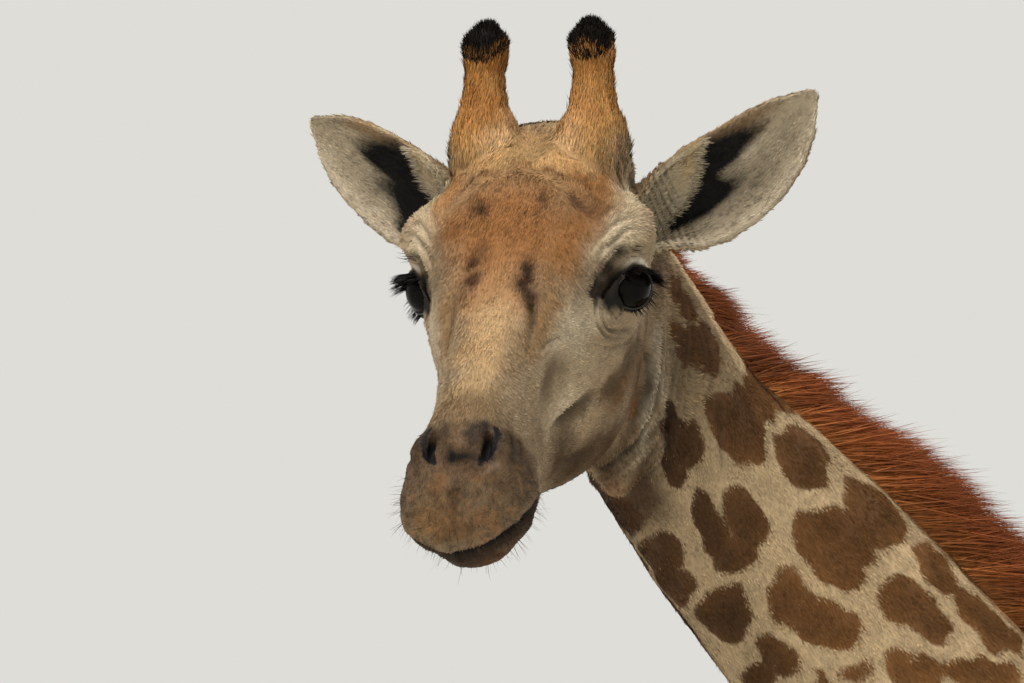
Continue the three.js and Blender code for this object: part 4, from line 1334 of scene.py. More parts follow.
def hide_material():
    """Short hair lying flat on skin: soft and dull, with fine streaks that run with the hair."""
    material, tree = new_material("Short-haired hide", 0.74, 1.45, {"Specular IOR Level": 0.25})
    # Hairs show as streaks about 1.6 mm wide and 18 mm long, coarser than the real 0.1 mm ones.
    place = {"Vector": attribute(tree, "flow").outputs["Vector"]}
    stretch = add_node(tree, "ShaderNodeMapping", {"Scale": (55, 620, 1)}, place)
    streaks = noise(tree, 1.0, 3.0, stretch.outputs[0])
    # The patches' edges are ragged by up to 3.5 mm and soft over 5 mm.
    ragged = add_node(tree, "ShaderNodeMath", {"operation": "MULTIPLY_ADD", 1: 7.0, 2: -3.5}, {0: streaks})
    parts = {0: attribute(tree, "inside").outputs["Fac"], 1: ragged.outputs[0]}
    edge = add_node(tree, "ShaderNodeMath", {"operation": "ADD"}, parts)
    amount = remap(tree, edge.outputs[0], -2.5, 2.5, kind="SMOOTHSTEP")
    ground, patch = (attribute(tree, name).outputs["Color"] for name in ("ground", "patch"))
    shade = mixed(tree, amount, ground, patch)
    shade = scaled(tree, shade, remap(tree, streaks, 0.25, 0.75, 0.72, 1.22))
    return finished(material, {"Base Color": shade, "Normal": bumped(tree, streaks, 0.5, 0.0012)})


# Where the head's colours end and the neck's begin: degrees from the nape and mm down the neck.
HEAD_END = [(0, 140), (60, 150), (86, 158), (100, 170), (119, 198), (131, 222), (142, 250), (154, 284)]
HEAD_END += [(161, 310), (180, 345)]


def past_head(points):
    """How surely points lie past the head's end, from 0 to 1, and where on the neck they are."""
    down, degrees = to_neck(points)
    line = np.interp(np.abs(degrees), *zip(*HEAD_END))
    return ease(down, line - 6, line + 6), down, degrees


def ground_colours(points, normals, label, hollow, bare, sizes):
    """The light coat's colour all over: the face's own, then the neck's, the body's and the legs', with
    painted shade below the head and ears.
    """
    head = to_head(points)
    colours = np.tile(colour(sizes.ground), (len(points), 1))
    belly = ease(-normals[:, 2], -0.2, 0.8) * among(label, TRUNK)
    belly = np.maximum(belly, 1 - ease(points[:, 2], 0.5, 1.5))
    colours += (colour(sizes.belly) - colours) * belly[:, None]
    past, down, degrees = past_head(points)
    rigid = among(label, EARS + HORNS + BODY_NODES)
    neck = past * ~rigid
    # Painted shade on the throat just behind the jaw, laid over the light coat as dark brown.
    throat = ease(np.abs(degrees), 146, 168) * neck * (1 - ease(down, 355, 400))
    colours = blend(colours, "#3f2a17", 0.95 * throat)
    # Painted shadow under each ear's root, on the neck's share of the coat.
    for side in BOTH_SIDES:
        gap = (head - np.array((98 * side, 163, -76))) / (26, 24, 22)
        colours = blend(colours, "#46372a", 0.95 * np.exp(-((gap**2).sum(1) ** 1.5)) * neck)
    # crease holds the head's painted shadow on the upper neck's sides, which darkens the light coat there;
    # the patches get theirs in the skin's build.
    crease = ease(np.abs(degrees), 50, 75) * (1 - 0.8 * ease(np.abs(degrees), 136, 152))
    crease = crease * (1 - ease(down, 240, 440)) * neck
    colours = blend(colours, "#4f3f2b", 0.75 * crease)
    nape = (1 - ease(np.abs(degrees), 6, 20)) * neck
    colours = blend(colours, "#8a5a30", 0.8 * nape)
    shade = 1 + 0.08 * wander(points, 0.05, 61) + 0.08 * wander(points, 0.014, 62)
    colours = colours * shade[:, None]
    near = np.flatnonzero(lengths(head) < COLOUR_REACH)
    own = face_colours(head[near], label[near], hollow[near], bare[near])
    share = 1 - neck[near]
    return colours, near, own, share


# How far from between the eyes in mm the face's shapes reach, and its colours.
SHAPE_REACH, COLOUR_REACH = 520, 480
# Rounds of smoothing for the surface, the hair's lie and the line between the head's colours and the neck's.
EVEN_ROUNDS, LIE_ROUNDS, SPREAD_ROUNDS = 26, 12, 10
# How far in mm the skin is sunk to make room for the coat.
EAR_SUNK, FACE_SUNK, BODY_SUNK = 0.3, 1.2, 2.6


class GIRAFFE_OT_skin(bpy.types.Operator):
    """Build the one skin that stands for all the nodes of flesh, with its folds, lids and markings"""

    bl_idname = "giraffe.skin"
    bl_label = "Skin"

    def execute(self, context):
        sizes = settings("skin")
        points, faces, middling = skin_surface(sizes)
        edges, _ = edges_of(faces)
        label = nearest_nodes(points, FLESH)
        weight = np.ones(len(points))
        weight[middling:] = 0.35
        weight[among(label, EARS + HORNS)] = 0.4
        points = relax(points, edges, EVEN_ROUNDS, smoothed(weight, edges, 4))
        normals = normals_of(points, faces)
        head = to_head(points)
        near = np.flatnonzero(lengths(head) < SHAPE_REACH)
        hollow, bare = np.zeros((2, len(points)))
        shaped = shape_face(head[near], normals[near] @ HEAD_AXES.T, sizes.eye_radius / MM)
        points[near], hollow[near], bare[near] = from_head(shaped[0]), *shaped[1:]
        normals = normals_of(points, faces)
        depth = np.where(among(label, FACE_NODES), FACE_SUNK, BODY_SUNK)
        depth[among(label, EARS)] = EAR_SUNK
        eyes = np.minimum(*(from_eye(to_head(points), s) for s in BOTH_SIDES))
        depth = smoothed(depth * ease(eyes, 30, 45), edges, 1)
        points -= normals * depth[:, None] * MM
        lie = lie_of(points, normals, label)
        for _ in range(LIE_ROUNDS):
            lie = unit(flattened(lie, normals))
            lie = averages(lie, edges, len(points)) + 0.2 * lie
        lie = unit(flattened(lie, normals))
        colours, near, own, share = ground_colours(points, normals, label, hollow, bare, sizes)
        spread = np.zeros(len(points))
        spread[near] = share
        spread = smoothed(spread, edges, SPREAD_ROUNDS)
        colours[near] += (own - colours[near]) * spread[near, None]
        inside, tone = markings(points, label)
        inside = np.where(spread > 0.5, np.minimum(inside, -20), inside)
        patch = colour(sizes.patch) + (colour(sizes.patch_deep) - colour(sizes.patch)) * tone[:, None]
        pale_legs = 1 + 0.35 * (1 - ease(points[:, 2], 0.3, 1.3))
        mottled = pale_legs * (1 + 0.12 * wander(points, 0.03, 63)) * (1.18 - 0.3 * ease(inside, 2, 25))
        patch = patch * mottled[:, None]
        down, degrees = to_neck(points)
        # Painted shade on the throat and under the neck: the patches darker by up to half and the light coat
        # by up to a fifth.
        under = ease(np.abs(degrees), 118, 165) * among(label, NECK_NODES + SKULL)
        under = (under * (1 - spread) * (1 - ease(down, 1000, 1400)))[:, None]
        patch = patch * (1 - 0.5 * under)
        # Painted shadow cast by the head on the upper neck's sides, darkening the patches there.
        head_shadow = ease(np.abs(degrees), 40, 75) * (1 - ease(down, 250, 430))
        patch = patch * (1 - 0.55 * head_shadow * (1 - spread))[:, None]
        colours = colours * (1 - 0.22 * under)
        # Painted shade in the folds away from the face, in both the light coat and the patches.
        colours = blend(colours, "#140e0a", 0.6 * hollow * (1 - spread))
        patch = blend(patch, "#140e0a", 0.6 * hollow * (1 - spread))
        mesh = mesh_from("skin", points, faces)
        flow = np.hstack([unrolled(points, label) * MM, np.zeros((len(points), 1))])
        for name, values in {"ground": colours, "patch": patch}.items():
            put_attribute(mesh, name, "FLOAT_COLOR", values)
        for name, values in {"lie": lie, "flow": flow}.items():
            put_attribute(mesh, name, "FLOAT_VECTOR", values)
        for name, values in {"inside": inside, "part": label, "bare": bare, "hollow": hollow}.items():
            put_attribute(mesh, name, "FLOAT", values)
        add_piece("skin", mesh, hide_material(), FLESH)
        return {"FINISHED"}


# The eyes


# The eyeball's colours from the middle of its gaze to 75 degrees off it.
EYE_STOPS = [
    (0.0, "#050404"), (0.3, "#060505"), (0.42, "#0c0805"), (0.66, "#090604"), (0.8, "#070504"),
    (1.0, "#0d0a08")
]


def eye_material():
    """A wet eyeball: very dark brown under a clear, smooth front, so it mirrors the sky sharply."""
    gloss = {"Specular IOR Level": 0.05, "Coat Weight": 0.1, "Coat Roughness": 0.03, "Coat IOR": 1.38}
    material, tree = new_material("Eyeball under clear cornea", 0.16, 1.38, gloss)
    ramp = add_node(tree, "ShaderNodeValToRGB", None, {0: attribute(tree, "gaze").outputs["Fac"]})
    while len(ramp.color_ramp.elements) < len(EYE_STOPS):
        ramp.color_ramp.elements.new(0.5)
    for stop, (at, text) in zip(ramp.color_ramp.elements, EYE_STOPS):
        stop.position = at
        stop.color = (*linear(text), 1)
    # Iris fibres finer than 0.1 mm: the noise runs over the eyeball's own box.
    dark = remap(tree, noise(tree, 900.0, 2.0), 0.3, 0.7, 0.7, 1.2)
    return finished(material, {"Base Color": scaled(tree, ramp.outputs[0], dark)})


def rim_material():
    """The bare wet edge of the lids: near-black skin with a moist gloss."""
    material, tree = new_material("Moist lid edge", 0.3, 1.4)
    grain = noise(tree, 500.0, 2.0)
    shade = mixed(tree, grain, "#0b0908", "#2a211b")
    return finished(material, {"Base Color": shade, "Normal": bumped(tree, grain, 0.3, 0.0003)})


def tube(points, radii, sides):
    """A closed ring of tube through points, as arrays of points and quads."""
    along = unit(np.roll(points, -1, axis=0) - np.roll(points, 1, axis=0))
    centre = points.mean(0)
    out = unit(points - centre)
    other = np.cross(along, out)
    angle = np.arange(sides) / sides * 2 * math.pi
    rings = points[:, None] + radii[:, None, None] * (
        np.cos(angle)[None, :, None] * out[:, None] + np.sin(angle)[None, :, None] * other[:, None]
    )
    count = len(points)
    i, j = np.meshgrid(np.arange(count), np.arange(sides), indexing="ij")
    a = i * sides + j
    b = i * sides + (j + 1) % sides
    c = (i + 1) % count * sides + (j + 1) % sides
    d = (i + 1) % count * sides + j
    return rings.reshape(-1, 3), np.stack([a, b, c, d], axis=-1).reshape(-1, 4)


def opening_line(side, count, reach, wider):
    """Points round one eye's lid opening, wider by some degrees, with each one's lean up and ahead."""
    centre, gaze, front, up = eye_frame(side)
    turn = np.arange(count) / count * 2 * math.pi
    ahead, lean = np.cos(turn), np.sin(turn)
    away = np.radians(lid_opening(ahead, lean) + wider)[:, None]
    across = ahead[:, None] * front + lean[:, None] * up
    direction = np.cos(away) * gaze + np.sin(away) * across
    return centre + direction * reach, lean, ahead


class GIRAFFE_OT_eyes(bpy.types.Operator):
    """Build both eyeballs and the dark wet edges of their lids"""

    bl_idname = "giraffe.eyes"
    bl_label = "Eyes"

    def execute(self, context):
        radius = settings("skin").eye_radius
        ball_material, edge_material = eye_material(), rim_material()
        for side, name in SIDE_NAMES.items():
            centre, gaze, front, _ = eye_frame(side)
            ball = bmesh.new()
            bmesh.ops.create_uvsphere(ball, u_segments=64, v_segments=48, radius=1.0)
            mesh = bpy.data.meshes.new("eyeball_" + name)
            ball.to_mesh(mesh)
            points, faces = arrays_of(mesh)
            across = np.cross(gaze, front)
            direction = points @ np.stack([front, across, gaze])
            away = np.degrees(np.arccos(np.clip(direction @ gaze, -1, 1)))
            bulge = 1 + 0.035 * (1 - ease(away, 0, 62))
            placed = from_head(centre + direction * (radius / MM * bulge)[:, None])
            if np.linalg.det(np.stack([front, across, gaze])) < 0:
                faces = faces[:, ::-1]
            mesh = mesh_from("eyeball_" + name, placed, faces)
            put_attribute(mesh, "gaze", "FLOAT", np.clip(away / 75, 0, 1))
            add_piece("eyeball_" + name, mesh, ball_material, ["eye_" + name])
            line, lean, _ = opening_line(side, 120, radius / MM + 0.9, 1.2)
            points, faces = tube(line, 1.25 + 0.5 * np.clip(lean, 0, 1), 8)
            mesh = mesh_from("lid_edge_" + name, from_head(points), faces)
            add_piece("lid_edge_" + name, mesh, edge_material)
        return {"FINISHED"}


# The coat


def hair_material(name, roughness, streak, low, high):
    """Hair: matt, its root and tip darkened or lightened by low and high, and mottled from tuft to tuft."""
    material, tree = new_material(name, roughness, 1.55, {"Specular IOR Level": 0.12})
    place = add_node(tree, "ShaderNodeTexCoord")
    mottle = noise(tree, 1 / streak, 2.0, place.outputs["Object"])
    vary = remap(tree, mottle, 0.25, 0.75, 0.86, 1.14)
    length = remap(tree, attribute(tree, "tip").outputs["Fac"], 0.0, 0.8, low, high)
    both = add_node(tree, "ShaderNodeMath", {"operation": "MULTIPLY"}, {0: vary, 1: length})
    shade = scaled(tree, attribute(tree, "hue").outputs["Color"], both.outputs[0])
    return finished(material, {"Base Color": shade})


def read_skin():
    """The finished skin's arrays, by name."""
    mesh = bpy.data.objects["skin"].data
    points, faces = arrays_of(mesh)
    skin = {"points": points, "faces": faces, "normals": normals_of(points, faces)}
    skin |= {name: get_attribute(mesh, name, 4)[:, :3] for name in ("ground", "patch")}
    skin |= {name: get_attribute(mesh, name, 1) for name in ("inside", "hollow", "bare")}
    skin["lie"], skin["flow"] = get_attribute(mesh, "lie", 3), get_attribute(mesh, "flow", 3)[:, :2]
    skin["part"] = get_attribute(mesh, "part", 1).round().astype(int)
    return skin


def scatter(skin, chosen, per_cm, random):
    """Even random places on the chosen triangles: each one's triangle and its shares of the corners."""
    a, b, c = skin["points"][skin["faces"][chosen]].transpose(1, 0, 2)
    area = lengths(np.cross(b - a, c - a)) / 2 * 1e4 * per_cm
    total = np.cumsum(area)
    place = np.arange(int(total[-1])) + random.uniform(0, 1, int(total[-1]))
    found = chosen[np.minimum(np.searchsorted(total, place), len(chosen) - 1)]
    u, v = random.uniform(0, 1, (2, len(found)))
    over = u + v > 1
    u[over], v[over] = 1 - u[over], 1 - v[over]
    return found, np.stack([1 - u - v, u, v], axis=1)


def spread_over(skin, name, found, shares):
    """A skin attribute's value at scattered places."""
    values = skin[name][skin["faces"][found]]
    if values.ndim == 2:
        return (values * shares).sum(1)
    return (values * shares[:, :, None]).sum(1)


def tuft_mesh(name, root, normal, direction, length, width, rise, hue, flat):
    """Folded kite-shaped tufts, each with a root, two sides, a tip and its own patch of the map."""
    side = np.cross(direction, normal)
    up = np.sin(rise)[:, None] * normal
    ahead = direction * np.cos(rise)[:, None] + up
    length, width = length[:, None], width[:, None]
    belly = root + ahead * length * 0.42 - normal * width * 0.12
    corners = np.stack(
        [
            root - normal * 0.0007,
            belly - side * width / 2,
            root + ahead * length - normal * length * 0.06,
            belly + side * width / 2,
        ],
        axis=1,
    )
    count = len(root)
    start = np.arange(count)[:, None] * 4
    faces = np.concatenate([start + (0, 2, 1), start + (0, 3, 2)], axis=1).reshape(-1, 3)
    mesh = mesh_from(name, corners.reshape(-1, 3), faces)
    lean = np.stack([normal, normal - 0.45 * side, normal + 0.25 * direction, normal + 0.45 * side], axis=1)
    put_attribute(mesh, "custom_normal", "FLOAT_VECTOR", unit(lean).reshape(-1, 3))
    put_attribute(mesh, "hue", "FLOAT_COLOR", np.repeat(hue, 4, axis=0))
    put_attribute(mesh, "tip", "FLOAT", np.tile([0.0, 0.45, 1.0, 0.45], count))
    low, high = flat.min(0), flat.max(0)
    centre = 0.003 + 0.994 * (flat - low) / (high - low)
    offsets = np.array([(0, -0.0015), (-0.0015, 0), (0, 0.0015), (0.0015, 0)])
    corner_place = (centre[:, None] + offsets).reshape(-1, 2)
    put_map(mesh, faces, corner_place)
    return mesh


# What a tuft needs to know of the skin at its root.
TUFT_NEEDS = ("points", "normals", "ground", "patch", "inside", "lie", "flow", "length")


def coat_group(skin, name, chosen, per_cm, length, width, rise, material, seed):
    """Tufts over the chosen triangles, in pieces that each stay under 200,000 triangles."""
    random = np.random.default_rng(seed)
    found, shares = scatter(skin, chosen, per_cm, random)
    found_bare = spread_over(skin, "bare", found, shares)
    keep = found_bare < 0.5
    found, shares = found[keep], shares[keep]
    get = {key: spread_over(skin, key, found, shares) for key in TUFT_NEEDS}
    count = len(found)
    normal = unit(get["normals"])
    lie = unit(flattened(get["lie"], normal))
    turn = np.radians(random.normal(0, 9, count) + 9 * wander(get["points"], 0.012, seed + 70))[:, None]
    lie = lie * np.cos(turn) + np.cross(normal, lie) * np.sin(turn)
    reach = length * get["length"] * random.uniform(0.65, 1.25, count)
    wide = width * np.sqrt(get["length"]) * random.uniform(0.7, 1.2, count)
    lift = np.radians(rise + random.normal(0, 3.5, count) + 4 * wander(get["points"], 0.02, seed + 71))
    stray = random.uniform(0, 1, count) < 0.02
    lift = np.where(stray, lift + 0.3, np.maximum(lift, 0.03))
    ragged = random.normal(0, 2.0, count) + 1.5 * wander(get["points"], 0.004, seed + 72)
    amount = ease(get["inside"] + ragged, -2.5, 2.5)[:, None]
    hue = get["ground"] * (1 - amount) + get["patch"] * amount
    tone = np.exp(random.normal(0, 0.19, count) + 0.09 * wander(get["points"], 0.006, seed + 73))
    warm = random.normal(0, 0.035, count)
    hue = hue * tone[:, None] * np.stack([1 + warm, np.ones(count), 1 - warm], axis=1)
    hue = np.clip(hue, 0.002, 1)
    order = get["flow"][:, 0].argsort()
    parts = max(1, math.ceil(count / MOST_TUFTS))
    for k, block in enumerate(np.array_split(order, parts)):
        piece = f"{name}_{k + 1}" if parts > 1 else name
        rows = (get["points"], normal, lie, reach, wide, lift, hue, get["flow"])
        mesh = tuft_mesh(piece, *(row[block] for row in rows))
        add_piece(piece, mesh, material)


def length_field(skin):
    """How long the coat is at each point of the skin, as a share of its region's length."""
    head = to_head(skin["points"])
    label = skin["part"]
    share = np.ones(len(label))
    face = among(label, SKULL)
    nose = 1 - 0.45 * ease(-head[:, 1], 300, 345)
    eyes = np.ones(len(label))
    for side in BOTH_SIDES:
        eyes *= 1 - 0.5 * (1 - ease(from_eye(head, side), 32, 60))
    crown = 1 + 0.35 * ease(head[:, 1], -10, 60)
    share = np.where(face, nose * eyes * crown, share)
    down, _ = to_neck(skin["points"])
    neck = among(label, NECK_NODES)
    share = np.where(neck, 0.7 + 0.3 * ease(down, 150, 600), share)
    legs = among(label, LEGS)
    share = share * (1 - 0.7 * np.clip(skin["hollow"], 0, 1))
    return np.where(legs, 0.45 + 0.55 * ease(skin["points"][:, 2], 0.5, 1.7), share)


# Each part of the coat: the region whose closeness and length it takes, its shares of them, its tufts' width
# in metres, how far they rise from the skin in degrees, and its slot.
COATS = {
    "coat_face": ("face", 1, 1, 0.00115, 9, "coat"),
    "coat_ears": ("face", 0.7, 1.1, 0.0012, 8, "ear"),
    "coat_horns": ("face", 1, 1.9, 0.0013, 14, "horn"),
    "coat_neck": ("neck", 1, 1, 0.0012, 8, "coat"),
    "coat_shoulder": ("body", 2, 0.8, 0.0042, 7, "coat"),
    "coat_body": ("body", 1, 1, 0.005, 6, "coat"),
    "coat_legs": ("body", 1.6, 0.8, 0.0042, 6, "coat"),
}
# How far down the neck in mm its fine tufts end.
FINE_COAT_END = 860


class GIRAFFE_OT_coat(bpy.types.Operator):
    """Lay the short coat over the skin, in tufts that follow its lie and share its markings"""

    bl_idname = "giraffe.coat"
    bl_label = "Coat"

    def execute(self, context):
        sizes = settings("coat")
        skin = read_skin()
        skin["length"] = length_field(skin)
        short = hair_material("Short flat coat", 0.62, 0.004, 0.8, 1.3)
        label = skin["part"][skin["faces"][:, 0]]
        near = to_neck(skin["points"])[0][skin["faces"][:, 0]] < FINE_COAT_END
        thin = 1.0
        neck = among(label, NECK_NODES)
        parts = (SKULL, EARS, HORNS, neck & near, neck & ~near, TRUNK + ["tail"], LEGS)
        for k, (name, chosen) in enumerate(zip(COATS, parts)):
            chosen = among(label, chosen) if isinstance(chosen, list) else chosen
            region, closer, longer, width, rise, slot = COATS[name]
            per_cm = getattr(sizes, region + "_count") * closer * thin
            length = getattr(sizes, region + "_length") * longer
            coat_group(
                skin, name, np.flatnonzero(chosen), per_cm, length, width, rise, short, 100 + k
            )
        return {"FINISHED"}


# Long hair


def lock_mesh(name, root, direction, bend, side, length, width, hues, segments, flat):
    """Long locks as tapering ribbons that bend towards their tips, with hues for root, middle and tip."""
    steps = np.linspace(0, 1, segments + 1)
    count = len(root)
    corners, colours, tips = [], [], []
    for k, t in enumerate(steps):
        at = root + (direction * t + bend * t * t) * length[:, None]
        across = side * (width * (1 - 0.75 * t**1.5) / 2)[:, None]
        if t < 0.5:
            shade = hues[0] * (1 - 2 * t) + hues[1] * 2 * t
        else:
            shade = hues[1] * (2 - 2 * t) + hues[2] * (2 * t - 1)
        rows = [at - across, at + across] if k < segments else [at]
        corners += rows
        colours += [shade] * len(rows)
        tips += [np.full(count, t)] * len(rows)
    per = len(corners)
    points = np.stack(corners, axis=1).reshape(-1, 3)
    start = np.arange(count)[:, None] * per
    faces = []
    for k in range(segments):
        a = 2 * k
        if k < segments - 1:
            faces += [start + (a, a + 1, a + 3), start + (a, a + 3, a + 2)]
        else:
            faces += [start + (a, a + 1, a + 2)]
    faces = np.concatenate(faces, axis=1).reshape(-1, 3)
    mesh = mesh_from(name, points, faces)
    put_attribute(mesh, "hue", "FLOAT_COLOR", np.clip(np.stack(colours, axis=1).reshape(-1, 3), 0.001, 1))
    put_attribute(mesh, "tip", "FLOAT", np.stack(tips, axis=1).ravel())
    low, high = flat.min(0), flat.max(0)
    centre = 0.003 + 0.994 * (flat - low) / np.maximum(high - low, 1e-6)
    along = np.stack(tips, axis=1)[:, :, None] * (0, 0.003) - (0, 0.0015)
    swing = np.tile([-0.0012, 0.0012], per)[:per][:, None] * (1, 0)
    place = (centre[:, None] + along + swing).reshape(-1, 2)
    put_map(mesh, faces, place)
    return mesh


def nape_line(skin):
    """How far the nape stands from the neck's middle line, at each of its points."""
    down, degrees = to_neck(skin["points"])
    neck = among(skin["part"], NECK_NODES + ["trunk_front", "head"])
    near = neck & (np.abs(degrees) < 10) & (down > 20)
    place = neck_place(down[near])
    out = ((skin["points"][near] - NECK[place]) * NECK_NAPE[place]).sum(1)
    bins = np.arange(0, len(NECK), 8)
    reach = np.array(
        [np.median(out[np.abs(place - b) < 6]) if (np.abs(place - b) < 6).any() else np.nan for b in bins]
    )
    good = ~np.isnan(reach)
    return np.interp(np.arange(len(NECK)), bins[good], reach[good])


# The mane: share of the neck's length, half its thickness and its height, in mm.
MANE = [
    (0.03, 12, 48),
    (0.055, 15, 54),
    (0.1, 19, 70),
    (0.13, 20, 103),
    (0.15, 21, 126),
    (0.17, 22, 122),
    (0.19, 23, 103),
    (0.25, 25, 97),
    (0.36, 27, 94),
    (0.5, 28, 92),
    (0.65, 27, 88),
    (0.76, 22, 58),
    (0.85, 10, 20),
]


# How far the mane leans back, in degrees, by share of the neck's length.
MANE_LEAN = [(0.04, 20), (0.11, 26), (0.15, 20), (0.19, 30), (0.28, 34), (0.45, 43)]
# The mane's two pieces: share of the locks, where each starts and ends along the neck, and its seed.
MANE_PIECES = {"mane_front": (0.66, 0.03, 0.47, 31), "mane_rear": (0.34, 0.45, 0.85, 32)}


class GIRAFFE_OT_mane(bpy.types.Operator):
    """Stand the mane along the nape: a solid heart with locks over it, leaning back down the neck"""

    bl_idname = "giraffe.mane"
    bl_label = "Mane"

    def execute(self, context):
        hair = settings("hair")
        skin = read_skin()
        nape = nape_line(skin)
        material = hair_material("Stiff mane hair", 0.55, 0.006, 0.75, 1.25)
        self.heart(nape, colour(hair.mane_middle) * 0.5 + colour(hair.mane_base) * 0.5, material)
        total = hair.mane_strands * 1
        for name, (share, start, end, seed) in MANE_PIECES.items():
            self.locks(name, nape, int(total * share), start, end, material, seed)
        return {"FINISHED"}

    def heart(self, nape, tone, material):
        """The dense inside of the mane: the CAD mane kept low and narrow, so the locks stand over it."""
        nodes = ["mane_upper", "mane_middle", "mane_lower"]
        points, faces = remeshed(nodes, 0.007, 0)
        points = relax(points, edges_of(faces)[0], 12, np.ones(len(points)))
        place = neck_place(to_neck(points)[0])
        out = points - NECK[place]
        tall = (out * NECK_NAPE[place]).sum(1) - nape[place]
        aside = (out * NECK_SIDE[place]).sum(1)
        points = points - NECK_NAPE[place] * (0.7 * np.maximum(tall, 0))[:, None]
        points -= NECK_SIDE[place] * (0.5 * aside)[:, None]
        mesh = mesh_from("mane_heart", points, faces)
        streak = 0.65 + 0.3 * wander(points, 0.008, 5)[:, None]
        put_attribute(mesh, "hue", "FLOAT_COLOR", tone * streak)
        put_attribute(mesh, "tip", "FLOAT", np.full(len(points), 0.4))
        down, degrees = to_neck(points)
        flat = np.stack([0.003 + 0.994 * down / down.max(), 0.5 + degrees / 362], axis=1)
        put_map(mesh, faces, flat)
        add_piece("mane_heart", mesh, material, nodes)

    def locks(self, name, nape, count, start, end, material, seed):
        """Locks standing on the nape between two shares of the neck's length."""
        hair = settings("hair")
        random = np.random.default_rng(seed)
        rows = np.array(MANE)
        ridge = NECK + NECK_NAPE * nape[:, None]
        along = np.append(0, np.cumsum(lengths(np.diff(ridge, axis=0))))
        first, last = (along[int(s * (len(NECK) - 1))] for s in (start, end))
        share = np.interp(random.uniform(first, last, count), along, np.linspace(0, 1, len(NECK)))
        place = np.clip((share * (len(NECK) - 1)).astype(int), 0, len(NECK) - 1)
        half = np.interp(share, rows[:, 0], rows[:, 1]) * MM
        tall = np.interp(share, rows[:, 0], rows[:, 2]) * MM
        over = random.uniform(-1, 1, count)
        reach = nape[place] - 0.006 - 0.006 * over**2
        root = NECK[place] + NECK_NAPE[place] * reach[:, None]
        root = root + NECK_SIDE[place] * (over * half * 0.85)[:, None]
        root += NECK_ALONG[place] * random.uniform(-1, 1, count)[:, None] * NECK_STEP
        lean = np.interp(share, *zip(*MANE_LEAN)) + random.normal(0, 6, count)
        lean = np.radians(lean + 6 * wander(root, 0.05, 81))[:, None]
        direction = NECK_NAPE[place] * np.cos(lean) + NECK_ALONG[place] * np.sin(lean)
        sway = 0.16 * over + random.normal(0, 0.05, count) + 0.12 * wander(root, 0.03, 82)
        direction = unit(direction + NECK_SIDE[place] * sway[:, None])
        clump = 1 - 0.1 * np.abs(wander(root, 0.016, 84)) - 0.06 * np.abs(wander(root, 0.006, 85))
        length = (tall * (1 - 0.3 * over**2) + 0.008) / np.cos(lean[:, 0])
        length = length * random.uniform(0.88, 1.12, count) * clump
        bend = NECK_ALONG[place] * 0.08 + random.normal(0, 0.05, (count, 3))
        side = unit(np.cross(direction, NECK_SIDE[place]) + random.normal(0, 0.8, (count, 3)))
        side = unit(flattened(side, direction))
        tone = np.exp(random.normal(0, 0.18, count) + 0.2 * wander(root, 0.02, 83))[:, None]
        pale = (random.uniform(0, 1, count) < 0.25 * (1 - ease(share, 0.04, 0.08)))[:, None]
        hues = [colour(c) * tone for c in (hair.mane_base, hair.mane_middle, hair.mane_tip)]
        hues = [c + (colour(hair.fringe) * 0.6 - c) * pale for c in hues]
        flat = np.stack([share, over * 0.1], axis=1)
        width = random.uniform(0.0010, 0.0019, count)
        mesh = lock_mesh(name, root, direction, bend, side, length, width, hues, 3, flat)
        add_piece(name, mesh, material)


# Each kind of long hair: its slot, its colour's shares at root, middle and tip, its segments and its seed.
HAIR_KINDS = {
    "horn_tuft": ("horn", (1, 1, 1.3), 3, 48),
    "ear_fringe": ("ear", (0.8, 1, 1), 3, 52),
    "lashes": ("coat", (0.6, 0.6, 0.6), 4, 57),
    "whiskers": ("coat", (1, 1, 1), 4, 59),
    "tail_tuft_hair": ("tail_hair", (1, 1.2, 1.6), 4, 61),
}
# How many hairs grow on a horn, an ear's edge, a brow and the tail, and how many places round an eye's
# opening may have lashes.
HORN_HAIRS, EAR_HAIRS, BROW_HAIRS, TAIL_LOCKS, LASH_PLACES = 3000, 620, 10, 3200, 420
CHIN_WHISKERS, LIP_WHISKERS, NOSE_WHISKERS = 330, 150, 60


def hairs(kind, which, node, root, direction, bend, length, width, shade, material):
    """A piece of long hairs on one node's skin, from their roots, directions and lengths in metres."""
    slot, shares, segments, seed = HAIR_KINDS[kind]
    random = np.random.default_rng(seed)
    side = unit(np.cross(direction, random.normal(0, 1, (len(root), 3))))
    tone = np.exp(random.normal(0, 0.15, len(root)))[:, None]
    flat = unrolled(root, np.full(len(root), FLESH.index(node)))
    hues = [shade * share * tone for share in shares]
    mesh = lock_mesh(kind + which, root, direction, bend, side, length, width, hues, segments, flat)
    return add_piece(kind + which, mesh, material)


